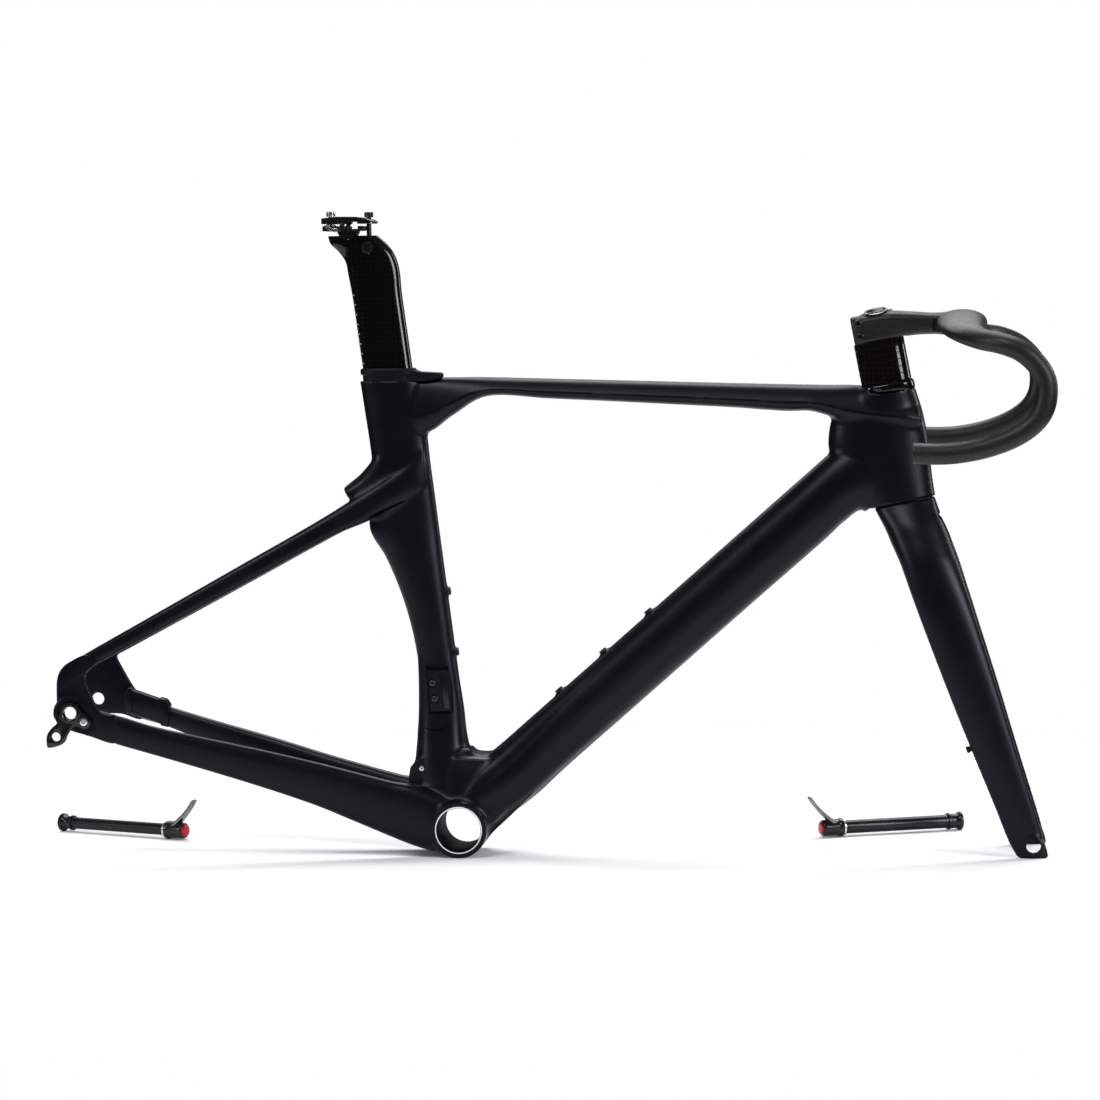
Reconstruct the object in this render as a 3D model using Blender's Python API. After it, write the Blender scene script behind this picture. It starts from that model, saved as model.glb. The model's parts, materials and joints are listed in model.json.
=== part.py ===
"""Carbon road bicycle frameset: frame, fork, one-piece cockpit, aero seatpost and two thru-axles.

X points forward, Y to the rider's left and Z up. The set stands nose-down on its bottom bracket
shell and its fork tips. Dimensions are in millimetres and become metres in the function place.
Sideways, everything is measured from the middle plane of the bicycle.
"""
import math

import bmesh
import bpy
from mathutils import Matrix, Vector

MM = 0.001
GAP = 0.3                        # clearance between pieces that touch
DATUM_X = -23.25                 # where the middle of the whole set lies along the drawing's x

# Wheels and bottom bracket, as (x, z) of the axis.
REAR_AXLE = (-486.5, 154.5)
FRONT_AXLE = (485.0, 12.0)
BOTTOM_BRACKET = (-96.0, 28.7)
BB_RADIUS = 28.7
BB_HALF_WIDTH = 43.25
BB_SLEEVE_OUTER = 24.0
BB_SLEEVE_INNER = 22.2
WHEEL_CLEARANCE = 350.0          # radius of the wheel cut-out in the seat tube
FORK_WHEEL_CLEARANCE = 344.0
REAR_HALF_SPACING = 71.0
FRONT_HALF_SPACING = 50.0
REAR_AXLE_HOLE = 6.5
FRONT_AXLE_HOLE = 7.3
DROPOUT_THICKNESS = 7.0

# Steering axis: a point on it and its lean; s is the distance along it, downwards from the point.
STEER_POINT = (338.0, 515.0)
STEER_LEAN = math.radians(10.2)
STEERER_RADIUS = 14.3
STEERER_BORE = 11.8
BEARING_RADIUS = 20.8
BEARING_BORE = 15.3
HEAD_TOP_S = 49.5
HEAD_BOTTOM_S = 159.3
CROWN_TOP_S = 160.3
SPACER_TOP_S = -4.7
SPACER_BOTTOM_S = 38.0
SPACER_COUNT = 6
CROWN_SWEEP = 47.0               # radius that the fork crown needs to turn in

# Seatpost axis: a point on it and its lean; t is the distance along it, upwards from the point.
POST_POINT = (-165.5, 500.0)
POST_LEAN = math.radians(7.2)
POST_HALF_DEPTH = 25.2
POST_HALF_WIDTH = 11.5
POST_BOTTOM_T = -105.0
POST_STRAIGHT_T = 70.0
POST_BORE_T = -172.0
TILT_PIVOT = (-203.0, 640.0)
CRADLE_RADIUS = 10.0
RAIL_HALF_SPACING = 22.0
RAIL_RADIUS = 3.7
RAIL_Z = 644.5
CRADLE_TOP_Z = 643.4

# Handlebar.
BAR_HALF_REACH = 205.0
BAR_RADIUS = 10.5
BAR_WALL = 2.5
CAP_SEAT_S = -32.4               # flat seat of the top cap in the stem
CAP_RADIUS = 17.2

SCREW_SIDES = 8

# Thru-axles lying on the floor: (cap end x, y), yaw, overall length, shaft radius, sign of x.
REAR_THRU_AXLE = ((-403.0, 112.0), math.radians(28.0), 168.0, 6.3, -1)
FRONT_THRU_AXLE = ((266.0, 112.0), math.radians(22.0), 158.0, 7.0, 1)
AXLE_FLANGE = 9.6

# Colours as linear RGB.
SATIN_BLACK = (0.0080, 0.0088, 0.0120)
CHARCOAL = (0.022, 0.022, 0.024)
GLOSS_BLACK = (0.004, 0.004, 0.005)
SILVER = (0.62, 0.62, 0.64)
STEEL_BLACK = (0.03, 0.03, 0.033)
GREY = (0.16, 0.16, 0.17)
RED = (0.42, 0.02, 0.03)

# Stations along each tube: first edge (x, z), second edge (x, z), sideways centre, half width.
SEAT_TUBE_LOW = (
    (-126, 46, -80, 68, 0, 26),
    (-143, 92, -88, 112, 0, 20),
)
SEAT_TUBE_HEIGHTS = (150, 200, 250, 300, 335)
SEAT_TUBE_HIGH = (
    (-182.5, 372, -119.6, 372, 0, 15.5),
    (-183.5, 408, -123.5, 405, 0, 15.5),
    (-190.5, 461, -128.0, 455, 0, 15.5),
    (-194.5, 490, -132.0, 490, 0, 15.5),
)
TOP_TUBE = (
    (-150, 488.0, -150, 425.0, 0, 12.5),
    (-122, 488.5, -121, 434.0, 0, 13.5),
    (-100, 488.2, -99, 449.5, 0, 15.0),
    (-62, 487.8, -62, 468.8, 0, 17.0),
    (62, 483.2, 62, 461.8, 0, 18.5),
    (184, 478.6, 184, 454.2, 0, 20.0),
    (240, 476.7, 238, 449.8, 0, 21.5),
    (268, 475.9, 262, 448.0, 0, 22.5),
    (286, 475.4, 275, 440.5, 0, 23.0),
    (304, 475.0, 300, 425.0, 0, 23.5),
)
HEAD_TUBE = (
    (318, 336, 391.5, 350, 0, 24.0),
    (300, 372, 387.6, 380, 0, 25.5),
    (281.5, 406, 384.8, 408, 0, 25.5),
    (280.5, 430, 381.8, 430, 0, 25.3),
    (281.5, 450, 377.6, 450, 0, 25.2),
    (286, 475, 369.5, 476, 0, 24.6),
)
DOWN_TUBE = (
    (312, 428, 352, 354, 0, 23.0),
    (286, 408, 319, 350.5, 0, 26.0),
    (262, 387.2, 297, 336.0, 0, 27.0),
    (236, 364.8, 274, 315, 0, 27.5),
    (160, 298.9, 200.6, 252.0, 0, 27.5),
    (60, 212.3, 100.6, 165.4, 0, 28.0),
    (-25, 138.7, 15.6, 91.8, 0, 29.5),
    (-58, 110.5, -20, 59.5, 0, 33.0),
    (-82, 92, -60, 30, 0, 38.0),
    (-104, 66, -86, 6, 0, 40.0),
)
YOKE = (
    (-170, 418, -160, 352, 0, 14.0),
    (-184, 404, -176, 345, 0, 16.5),
    (-193, 391.5, -189, 348, 0, 19.5),
    (-211.5, 377.3, -203.8, 363.2, 0, 21.5),
)
BB_WEB = (
    (-148, 36), (-149, 72), (-141, 98), (-92, 109), (-82, 104.5), (-66, 103.5),
    (-48, 110), (-10, 80), (-62, 25), (-78, 8), (-96, 3),
)
BB_WEB_HALF_WIDTH = 22.0
SEATSTAY = (
    (-172, 380, -162, 346, 12, 7.5),
    (-201, 364.5, -188.5, 339, 18.5, 7.5),
    (-226, 350.5, -215, 331.5, 27, 6.8),
    (-259, 331.5, -249.3, 314, 36, 6.4),
    (-311, 302.8, -302, 286, 47.5, 6.0),
    (-365, 272.8, -356.5, 257.2, 58.5, 5.8),
    (-420, 242.3, -412.3, 228, 69, 5.2),
    (-456.6, 222.2, -448.5, 209, 73.5, 4.4),
    (-478, 210, -468, 199, 74.5, 3.7),
)
SEATSTAY_SEAMS = (2, 7)          # stations where the stay is bonded to the frame and the dropout
CHAINSTAY = (
    (-112, 70, -104, 1.5, 29, 12.5),
    (-145, 76.5, -139, 10.5, 30.5, 11.5),
    (-166, 78.5, -167, 21.5, 31.5, 10.0),
    (-203.5, 88.6, -206, 38.6, 34.5, 8.8),
    (-242, 99.2, -245, 55.6, 39.5, 8.2),
    (-300, 114.2, -302, 76.6, 49, 7.6),
    (-360, 128.6, -362, 96.8, 59.5, 6.8),
    (-405, 140.2, -407, 111.6, 67.5, 6.0),
    (-431, 150.6, -437, 121, 72, 4.8),
    (-458, 160, -464, 131, 74.5, 3.6),
)
CHAINSTAY_SEAM = 2
DROPOUT = (
    (-470, 213.5), (-487, 206.0), (-495, 199), (-499, 190), (-500, 176), (-499.5, 150),
    (-496, 142), (-487, 136.6), (-466, 130.4), (-440, 124), (-440, 150), (-449, 152.4),
    (-456, 155.5), (-460.5, 162), (-466, 174), (-470.6, 186), (-469.4, 195), (-461, 202.5),
    (-457, 208),
)
BRAKE_PAD = ((-431, 126), (-431, 155.5), (-404, 149.5), (-399, 140), (-399, 120))
FORK_CROWN = (
    (386.5, 372, 328, 361, 0, 19.0),
    (390.0, 354, 331, 343, 0, 23.0),
    (399, 338, 337, 333, 0, 33.0),
    (406, 320, 345, 316, 0, 43.0),
)
FORK_BLADE = (
    (392, 350, 338, 342, 24, 12.0),
    (403, 327, 343.5, 325, 35, 11.0),
    (413.4, 295, 355.5, 293, 42.5, 9.5),
    (431.7, 234.5, 376.8, 233, 48.5, 8.5),
    (450, 174, 399.2, 172.5, 52, 7.8),
    (467.5, 113.5, 422.6, 112, 54.2, 7.0),
    (485.5, 53, 446.2, 53, 55.4, 6.0),
    (494.5, 22, 458, 22, 55.5, 5.4),
    (499.4, 4, 467, 4, 55.5, 5.2),
    (498, 0, 472, 0, 55.5, 4.8),
)
STEM = (
    (306.5, 543.0, 310.6, 515.8, 0, 15.0),
    (316, 544.8, 320, 517.3, 0, 19.0),
    (341, 549.4, 345, 521.8, 0, 19.5),
    (362, 549.6, 364, 524.8, 0, 17.5),
    (388, 547.4, 389, 524.8, 0, 16.5),
    (408, 546.4, 409, 525.5, 0, 19.0),
    (426, 545.5, 426, 528.0, 0, 26.0),
)
# Handlebar from the middle to the right-hand end: x, y, z, half chord, half thickness.
BAR = (
    (418, 0, 536.5, 22, 10.0),
    (420, 60, 537.5, 22, 10.0),
    (425, 118, 539.5, 21, 10.0),
    (436, 165, 540, 18, 11.0),
    (450, 190, 533.5, 14.5, 12.0),
    (467, 202, 520.5, 11.5, 12.0),
    (487, BAR_HALF_REACH, 501.5, BAR_RADIUS, 11.0),
    (499.5, BAR_HALF_REACH, 481, BAR_RADIUS, BAR_RADIUS),
    (499, BAR_HALF_REACH, 460, BAR_RADIUS, BAR_RADIUS),
    (487, BAR_HALF_REACH, 443, BAR_RADIUS, BAR_RADIUS),
    (464, BAR_HALF_REACH, 427.5, BAR_RADIUS, BAR_RADIUS),
    (436, BAR_HALF_REACH, 417, BAR_RADIUS, BAR_RADIUS),
    (404, BAR_HALF_REACH, 413, BAR_RADIUS, BAR_RADIUS),
    (370, BAR_HALF_REACH, 415, BAR_RADIUS, BAR_RADIUS),
)
POST_HEAD = (
    (-204.0, 594, -151.0, 594, 0, 11.5),
    (-206.5, 607, -154.0, 607, 0, 12.0),
    (-213.0, 617, -159.5, 617, 0, 13.0),
    (-221.5, 625.5, -165.5, 625.5, 0, 14.5),
    (-224.0, 633.6, -171.5, 633.6, 0, 16.0),
)
HANGER = (
    (-497.5, 153.5), (-494, 162.5), (-486.5, 166.0), (-479.5, 163.0), (-471.5, 153.0),
    (-466.0, 148.5), (-466.5, 141.5), (-472.0, 138.2), (-481.0, 141.5), (-488.5, 133.5),
    (-492.5, 125.0), (-500.0, 121.0), (-509.5, 119.5), (-511.0, 124.5), (-510.5, 132.0),
    (-506.0, 139.0), (-499.5, 145.0),
)
HANGER_SEAT = (
    (-480, 167), (-463, 153), (-460, 140), (-485, 122), (-515, 116), (-515, 140), (-499, 152),
)
HANGER_HOLE = (-501.2, 130.4, 4.6)
HANGER_SCREW = (-472.4, 145.6)
BOTTLE_BOSSES = (
    ("down_tube_upper", 98.3, 246.2), ("down_tube_middle", 51.6, 205.8), ("down_tube_lower", 6.0, 166.3),
    ("seat_tube_upper", -107.8, 269.7), ("seat_tube_lower", -100.6, 207.5),
)
DERAILLEUR_PLATE = ((-130.0, 190), (-107.0, 188), (-102.5, 148), (-125.5, 148))
DERAILLEUR_SCREWS = (("upper", -123.0, 176.5), ("lower", -121.0, 160.5))
GUIDE_SCREW = (-135.0, 90.0)


def place(x, y, z):
    """The point in metres, measured from the middle of the set."""
    return Vector(((x - DATUM_X) * MM, y * MM, z * MM))


def steer_point(forward, side, s):
    """A point given from the steering axis, in millimetres."""
    x = STEER_POINT[0] + forward * math.cos(STEER_LEAN) + s * math.sin(STEER_LEAN)
    z = STEER_POINT[1] + forward * math.sin(STEER_LEAN) - s * math.cos(STEER_LEAN)
    return (x, side, z)


def post_point(forward, side, t):
    """A point given from the seatpost axis, in millimetres."""
    x = POST_POINT[0] + forward * math.cos(POST_LEAN) - t * math.sin(POST_LEAN)
    z = POST_POINT[1] + forward * math.sin(POST_LEAN) + t * math.cos(POST_LEAN)
    return (x, side, z)


def make_material(name, colour, roughness, metallic=0.0):
    """A Principled material in one colour."""
    material = bpy.data.materials.new(name)
    material.use_nodes = True
    shader = material.node_tree.nodes["Principled BSDF"]
    shader.inputs["Base Color"].default_value = (*colour, 1.0)
    shader.inputs["Roughness"].default_value = roughness
    shader.inputs["Metallic"].default_value = metallic
    return material


def add_body(name, bm, look):
    """Turn a bmesh into an object with outward faces and its own material."""
    bmesh.ops.recalc_face_normals(bm, faces=bm.faces)
    mesh = bpy.data.meshes.new(name)
    bm.to_mesh(mesh)
    bm.free()
    mesh.shade_smooth()
    mesh.set_sharp_from_angle(angle=math.radians(35))
    mesh.materials.append(make_material(name, *look))
    body = bpy.data.objects.new(name, mesh)
    bpy.context.scene.collection.objects.link(body)
    return body


def through(values, steps):
    """Tuples on a smooth curve through the given ones, with steps to each span."""
    padded = [values[0]] + list(values) + [values[-1]]
    result = []
    for before, start, end, after in zip(padded, padded[1:], padded[2:], padded[3:]):
        for k in range(steps):
            t = k / steps
            result.append(tuple(
                b + 0.5 * t * ((c - a) + t * ((2 * a - 5 * b + 4 * c - d) + t * (3 * b - a - 3 * c + d)))
                for a, b, c, d in zip(before, start, end, after)))
    result.append(tuple(values[-1]))
    return result


def superellipse(angle, square):
    """A point of the unit superellipse; square 2 is a circle and more is boxier."""
    c, s = math.cos(angle), math.sin(angle)
    power = 2.0 / square
    return (math.copysign(abs(c) ** power, c), math.copysign(abs(s) ** power, s))


def oval(station, side=1, square=2.5, sides=16):
    """The ring of points of a tube's section, from one edge across to the other."""
    x1, z1, x2, z2, y, half_width = station
    ring = []
    for k in range(sides):
        u, v = superellipse(2 * math.pi * k / sides, square)
        ring.append((
            (x1 + x2) / 2 + (x1 - x2) / 2 * u,
            side * (y + half_width * v),
            (z1 + z2) / 2 + (z1 - z2) / 2 * u))
    return ring


def loft(name, rings, look):
    """A closed body through rings of points in millimetres, with flat ends."""
    bm = bmesh.new()
    loops = [[bm.verts.new(place(*point)) for point in ring] for ring in rings]
    for low, high in zip(loops, loops[1:]):
        for k in range(len(low)):
            n = (k + 1) % len(low)
            bm.faces.new((low[k], low[n], high[n], high[k]))
    bm.faces.new(list(reversed(loops[0])))
    bm.faces.new(loops[-1])
    return add_body(name, bm, look)


def tube(name, stations, look, side=1, steps=1, square=2.5, sides=16):
    """A tube lofted through its stations."""
    rings = [oval(s, side, square, sides) for s in through(stations, steps)]
    return loft(name, rings, look)


def prism(name, outline, y_low, y_high, look):
    """An outline of (x, z) points with a thickness along Y."""
    return loft(name, [[(x, y, z) for x, z in outline] for y in (y_low, y_high)], look)


def turned(name, origin, axis, profile, look, sides=16, ring=False):
    """A body turned about an axis through origin; profile holds (radius, distance along the axis)."""
    direction = Vector(axis).normalized()
    across = direction.orthogonal().normalized()
    other = direction.cross(across)
    bm = bmesh.new()
    loops = []
    for radius, distance in profile:
        loop = []
        for k in range(sides):
            angle = 2 * math.pi * k / sides
            spot = Vector(origin) + direction * distance
            spot += (across * math.cos(angle) + other * math.sin(angle)) * radius
            loop.append(bm.verts.new(place(*spot)))
        loops.append(loop)
    pairs = list(zip(loops, loops[1:]))
    if ring:
        pairs.append((loops[-1], loops[0]))
    for low, high in pairs:
        for k in range(sides):
            n = (k + 1) % sides
            bm.faces.new((low[k], low[n], high[n], high[k]))
    if not ring:
        bm.faces.new(list(reversed(loops[0])))
        bm.faces.new(loops[-1])
    return add_body(name, bm, look)


def rod(name, start, end, radius, look, sides=16):
    """A round bar between two points."""
    length = (Vector(end) - Vector(start)).length
    axis = Vector(end) - Vector(start)
    return turned(name, start, axis, ((radius, 0), (radius, length)), look, sides)


def washer(name, origin, axis, inner, outer, low, high, look, sides=24):
    """A flat ring on an axis."""
    profile = ((inner, low), (outer, low), (outer, high), (inner, high))
    return turned(name, origin, axis, profile, look, sides, ring=True)


def combine(body, tool, operation):
    """Join a hidden tool to a body, or cut it away."""
    modifier = body.modifiers.new(tool.name, "BOOLEAN")
    modifier.operation = operation
    modifier.object = tool
    tool.hide_render = True
    tool.display_type = "WIRE"


def join(body, *tools):
    """Add tools to a body as one solid."""
    for tool in tools:
        combine(body, tool, "UNION")


def cut(body, *tools):
    """Cut tools out of a body."""
    for tool in tools:
        combine(body, tool, "DIFFERENCE")


CARBON = (SATIN_BLACK, 0.42)
COCKPIT_CARBON = (CHARCOAL, 0.5)
GLOSS = (GLOSS_BLACK, 0.08)
BRIGHT = (SILVER, 0.25, 1.0)
DARK_STEEL = (STEEL_BLACK, 0.35, 1.0)
ANODISED = (STEEL_BLACK, 0.3, 1.0)
PLASTIC = (CHARCOAL, 0.45)
LEVER_GREY = (GREY, 0.4, 1.0)
RED_ANODISED = (RED, 0.3, 1.0)
TOOL = (GREY, 0.9)

SIDES = (("right", -1), ("left", 1))
STEERED = (
    "fork", "crown_race", "headset_compression_ring", "cockpit", "stem_screw_upper", "stem_screw_lower",
    "top_cap", "top_cap_bolt", "steerer_expander", "front_axle_thread_insert", "fork_cable_guide",
)


def wheel_arc_x(z):
    """The x of the wheel cut-out behind the seat tube at height z."""
    return REAR_AXLE[0] + math.sqrt(WHEEL_CLEARANCE ** 2 - (z - REAR_AXLE[1]) ** 2)


def seat_tube_stations():
    """The seat tube, whose rear edge follows the wheel below the yoke."""
    middle = [(wheel_arc_x(z), z, -76.0 - 0.1176 * z, z, 0, 15.5) for z in SEAT_TUBE_HEIGHTS]
    return list(SEAT_TUBE_LOW) + middle + list(SEAT_TUBE_HIGH)


def post_section(t, side_room=0.0):
    """The seatpost's section at t along its axis, or its bore with some room."""
    front = post_point(POST_HALF_DEPTH + side_room, 0, t)
    rear = post_point(-POST_HALF_DEPTH - side_room, 0, t)
    return (rear[0], rear[2], front[0], front[2], 0, POST_HALF_WIDTH + side_room)


def stay_parts(stations, seams, side, steps=1):
    """Split a stay's rings at its bonded seams, with a gap at each."""
    rings = [oval(s, side, 2.4, 12) for s in through(stations, steps)]
    pieces = []
    start = 0
    for seam in list(seams) + [len(stations) - 1]:
        piece = rings[start * steps:seam * steps + 1]
        if start:
            shift = (Vector(piece[1][0]) - Vector(piece[0][0])).normalized() * GAP
            piece[0] = [tuple(Vector(point) + shift) for point in piece[0]]
        pieces.append(piece)
        start = seam
    return pieces


def steering_profile_cut(name, profile, sides=24):
    """A hidden turned cutter about the steering axis; profile holds (radius, s)."""
    axis = (math.sin(STEER_LEAN), 0, -math.cos(STEER_LEAN))
    return turned(name, steer_point(0, 0, 0), axis, profile, TOOL, sides)


def build_front_triangle():
    """Head tube, top tube, down tube, seat tube and bottom bracket shell as one moulding."""
    body = tube("front_triangle", DOWN_TUBE, CARBON, square=2.6, sides=18)
    bb_x, bb_z = BOTTOM_BRACKET
    join(
        body,
        tube("guide_head_tube", HEAD_TUBE, CARBON, square=2.7, sides=18),
        tube("guide_top_tube", TOP_TUBE, CARBON, square=2.6, sides=14),
        tube("guide_seat_tube", seat_tube_stations(), CARBON, square=2.6, sides=18),
        tube("guide_yoke", YOKE, CARBON, square=2.6, sides=14),
        prism("guide_bb_web", BB_WEB, -BB_WEB_HALF_WIDTH, BB_WEB_HALF_WIDTH, CARBON),
        rod("guide_bb_shell", (bb_x, -BB_HALF_WIDTH, bb_z), (bb_x, BB_HALF_WIDTH, bb_z), BB_RADIUS,
            CARBON, 32))
    for label, side in SIDES:
        join(
            body,
            loft("guide_seatstay_root_" + label, stay_parts(SEATSTAY, SEATSTAY_SEAMS, side)[0], CARBON),
            loft("guide_chainstay_root_" + label, stay_parts(CHAINSTAY, (CHAINSTAY_SEAM,), side)[0], CARBON))
    cut_head_tube(body)
    cut_seat_tube(body)
    cut(body, rod("cutter_bb_bore", (bb_x, -60, bb_z), (bb_x, 60, bb_z), BB_SLEEVE_OUTER + GAP, TOOL, 32))
    for label, x, z in BOTTLE_BOSSES:
        cut(body, screw_hole("cutter_boss_" + label, *boss_axis(label, x, z), 3.0, 9.0))
    cut(body, prism("cutter_derailleur_seat", grown(DERAILLEUR_PLATE, GAP), -30, -13.6, TOOL))
    for label, x, z in DERAILLEUR_SCREWS:
        cut(body, screw_hole("cutter_derailleur_" + label, (x, -15.0, z), (0, -1, 0), 2.5, 8.0))
    cut(body, screw_hole("cutter_guide_screw", (GUIDE_SCREW[0], -BB_WEB_HALF_WIDTH, GUIDE_SCREW[1]),
                        (0, -1, 0), 2.6, 9.0))
    return body


def grown(outline, amount):
    """The outline moved outwards from its middle by about amount."""
    cx = sum(x for x, z in outline) / len(outline)
    cz = sum(z for x, z in outline) / len(outline)
    result = []
    for x, z in outline:
        reach = math.hypot(x - cx, z - cz)
        result.append((x + (x - cx) * 2 * amount / reach, z + (z - cz) * 2 * amount / reach))
    return result


def cut_head_tube(body):
    """The headset's bore and seats, the scoop for its cover and the room that the crown turns in."""
    scoop = ((-46, 26), (-39.5, 33.7), (-34, 38.5), (-29.5, 44), (-25, HEAD_TOP_S),
             (44, HEAD_TOP_S), (44, -20), (-46, -20))
    points = [steer_point(forward, 0, s) for forward, s in scoop]
    cut(
        body,
        prism("cutter_headset_scoop", [(x, z) for x, y, z in points], -40, 40, TOOL),
        steering_profile_cut("cutter_head_bore", (
            (BEARING_RADIUS + GAP, 30), (BEARING_RADIUS + GAP, 58), (STEERER_RADIUS + 3, 58),
            (STEERER_RADIUS + 3, 150.5), (BEARING_RADIUS + GAP, 150.5), (BEARING_RADIUS + GAP, 175))),
        steering_profile_cut("cutter_crown_room", ((CROWN_SWEEP, HEAD_BOTTOM_S), (CROWN_SWEEP, 240)), 32))


def cut_seat_tube(body):
    """The seatpost's bore, the clamp wedge's pocket and the seat for the clamp cover."""
    bore = [oval(post_section(t, 0.4), 1, 2.5, 16) for t in (POST_BORE_T, 60)]
    pocket = [post_point(u, 0, t) for u, t in ((20, -54), (42, -54), (42, 40), (20, 40))]
    seat = ((-230, 482.2), (-138, 482.2), (-110.5, 486.4), (-109.5, 540), (-230, 540))
    cut(
        body,
        prism("cutter_cover_seat", seat, -40, 40, TOOL),
        loft("cutter_post_bore", bore, TOOL),
        prism("cutter_wedge_pocket", [(x, z) for x, y, z in pocket], -9.1, 9.1, TOOL))


def boss_axis(label, x, z):
    """A bottle boss's place and outward direction."""
    if label.startswith("down"):
        return (x, 0, z), (-math.sin(math.radians(40.9)), 0, math.cos(math.radians(40.9)))
    return (x, 0, z), (math.cos(math.radians(6.7)), 0, math.sin(math.radians(6.7)))


def screw_hole(name, point, axis, radius, depth):
    """A hidden round cutter that goes depth below the point and well above it."""
    return turned(name, point, axis, ((radius + GAP, -depth - GAP), (radius + GAP, 12)), TOOL, 12)


def screw(name, point, axis, shank, head, head_height, depth, look):
    """A socket screw whose head stands on the point's plane."""
    socket = head * 0.55
    profile = ((shank, -depth), (shank, GAP), (head, GAP), (head, head_height),
               (socket, head_height), (socket, head_height * 0.35))
    return turned(name, point, axis, profile, look, SCREW_SIDES)


def build_stays():
    """Both seatstays and both chainstays with their dropouts."""
    for label, side in SIDES:
        pieces = stay_parts(SEATSTAY, SEATSTAY_SEAMS, side)
        loft("seatstay_" + label, pieces[1], CARBON)
        chainstay = loft("chainstay_" + label, stay_parts(CHAINSTAY, (CHAINSTAY_SEAM,), side)[1], CARBON)
        inner = side * REAR_HALF_SPACING
        outer = side * (REAR_HALF_SPACING + DROPOUT_THICKNESS)
        join(
            chainstay,
            prism("guide_dropout_" + label, DROPOUT, min(inner, outer), max(inner, outer), CARBON),
            loft("guide_seatstay_end_" + label, pieces[2], CARBON))
        hole = REAR_AXLE_HOLE + GAP if side < 0 else 9.0 + GAP
        x, z = REAR_AXLE
        cut(chainstay, rod("cutter_rear_axle_" + label, (x, side * 60, z), (x, side * 90, z), hole, TOOL, 20))
        if side < 0:
            cut(chainstay, prism("cutter_hanger_seat", HANGER_SEAT, -90, -75.4, TOOL),
                rod("cutter_hanger_ring", (x, -90, z), (x, -75.6, z), 12.6, TOOL, 24))
            x, z = HANGER_SCREW
            cut(chainstay, rod("cutter_hanger_screw", (x, -90, z), (x, -60, z), 2.9, TOOL, 12))
        else:
            join(chainstay, prism("guide_brake_pad", BRAKE_PAD, 62, 76, CARBON))
            x, z = REAR_AXLE
            washer("rear_axle_thread_insert", (x, 0, z), (0, 1, 0), REAR_AXLE_HOLE, 9.0,
                   REAR_HALF_SPACING + 0.5, REAR_HALF_SPACING + DROPOUT_THICKNESS - 0.5, ANODISED, 20)


def build_hanger():
    """The derailleur hanger in its seat outside the right dropout, and its screw."""
    hanger = prism("derailleur_hanger", HANGER, -79.5, -75.8, ANODISED)
    x, z, radius = HANGER_HOLE
    cut(
        hanger,
        rod("cutter_hanger_axle", (REAR_AXLE[0], -90, REAR_AXLE[1]), (REAR_AXLE[0], -60, REAR_AXLE[1]),
            REAR_AXLE_HOLE, TOOL, 20),
        rod("cutter_hanger_thread", (x, -90, z), (x, -60, z), radius, TOOL, 16),
        rod("cutter_hanger_screw_seat", (HANGER_SCREW[0], -90, HANGER_SCREW[1]),
            (HANGER_SCREW[0], -60, HANGER_SCREW[1]), 2.9, TOOL, 12))
    screw("hanger_screw", (HANGER_SCREW[0], -79.7, HANGER_SCREW[1]), (0, -1, 0), 2.5, 3.9, 1.4, 7.5, BRIGHT)


def build_bottom_bracket():
    """The metal sleeve in the bottom bracket shell."""
    washer("bottom_bracket_sleeve", (BOTTOM_BRACKET[0], 0, BOTTOM_BRACKET[1]), (0, 1, 0),
           BB_SLEEVE_INNER, BB_SLEEVE_OUTER, -BB_HALF_WIDTH, BB_HALF_WIDTH, BRIGHT, 32)


def build_frame_fittings():
    """Bottle screws, the front derailleur plate and the small cable fittings."""
    for label, x, z in BOTTLE_BOSSES:
        screw("bottle_screw_" + label, *boss_axis(label, x, z), 2.9, 4.4, 2.6, 8.5, DARK_STEEL)
    plate = prism("front_derailleur_plate", DERAILLEUR_PLATE, -16.8, -13.9, ANODISED)
    for label, x, z in DERAILLEUR_SCREWS:
        cut(plate, rod("cutter_plate_" + label, (x, -30, z), (x, 0, z), 2.9, TOOL, 12))
        cut(plate, rod("cutter_plate_head_" + label, (x, -30, z), (x, -15.6, z), 4.5, TOOL, 12))
        screw("front_derailleur_screw_" + label, (x, -15.6, z), (0, -1, 0), 2.4, 4.0, 2.4, 7.8, DARK_STEEL)
    screw("cable_guide_screw", (GUIDE_SCREW[0], -BB_WEB_HALF_WIDTH, GUIDE_SCREW[1]), (0, -1, 0),
          2.4, 3.6, 1.6, 8.0, BRIGHT)


def build_headset():
    """Bearings, compression ring, cover and crown race about the steering axis."""
    axis = (math.sin(STEER_LEAN), 0, -math.cos(STEER_LEAN))
    origin = steer_point(0, 0, 0)
    washer("headset_upper_bearing", origin, axis, BEARING_BORE, BEARING_RADIUS, 50.6, 57.4, BRIGHT)
    washer("headset_lower_bearing", origin, axis, BEARING_BORE, BEARING_RADIUS, 151.0, 158.0, BRIGHT)
    washer("headset_compression_ring", origin, axis, STEERER_RADIUS + GAP, 17.2, 44.0, 50.2, BRIGHT)
    washer("crown_race", origin, axis, STEERER_RADIUS + GAP, 18.5, 158.4, CROWN_TOP_S - GAP, BRIGHT)
    sections = (
        (49.0, -23.0, 24.2, 18.5), (45.0, -26.5, 25.2, 20.4), (41.0, -28.6, 24.6, 20.2),
        (38.4, -28.2, 23.4, 19.0))
    rings = [steering_ring(s, rear, front, half) for s, rear, front, half in sections]
    cover = loft("headset_cover", rings, GLOSS)
    cut(cover, steering_profile_cut("cutter_cover_bore", ((17.5, 30), (17.5, 60))))


def steering_ring(s, rear, front, half_width, sides=20, square=2.6):
    """A section square to the steering axis."""
    ring = []
    for k in range(sides):
        u, v = superellipse(2 * math.pi * k / sides, square)
        ring.append(steer_point((front + rear) / 2 + (front - rear) / 2 * u, half_width * v, s))
    return ring


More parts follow.
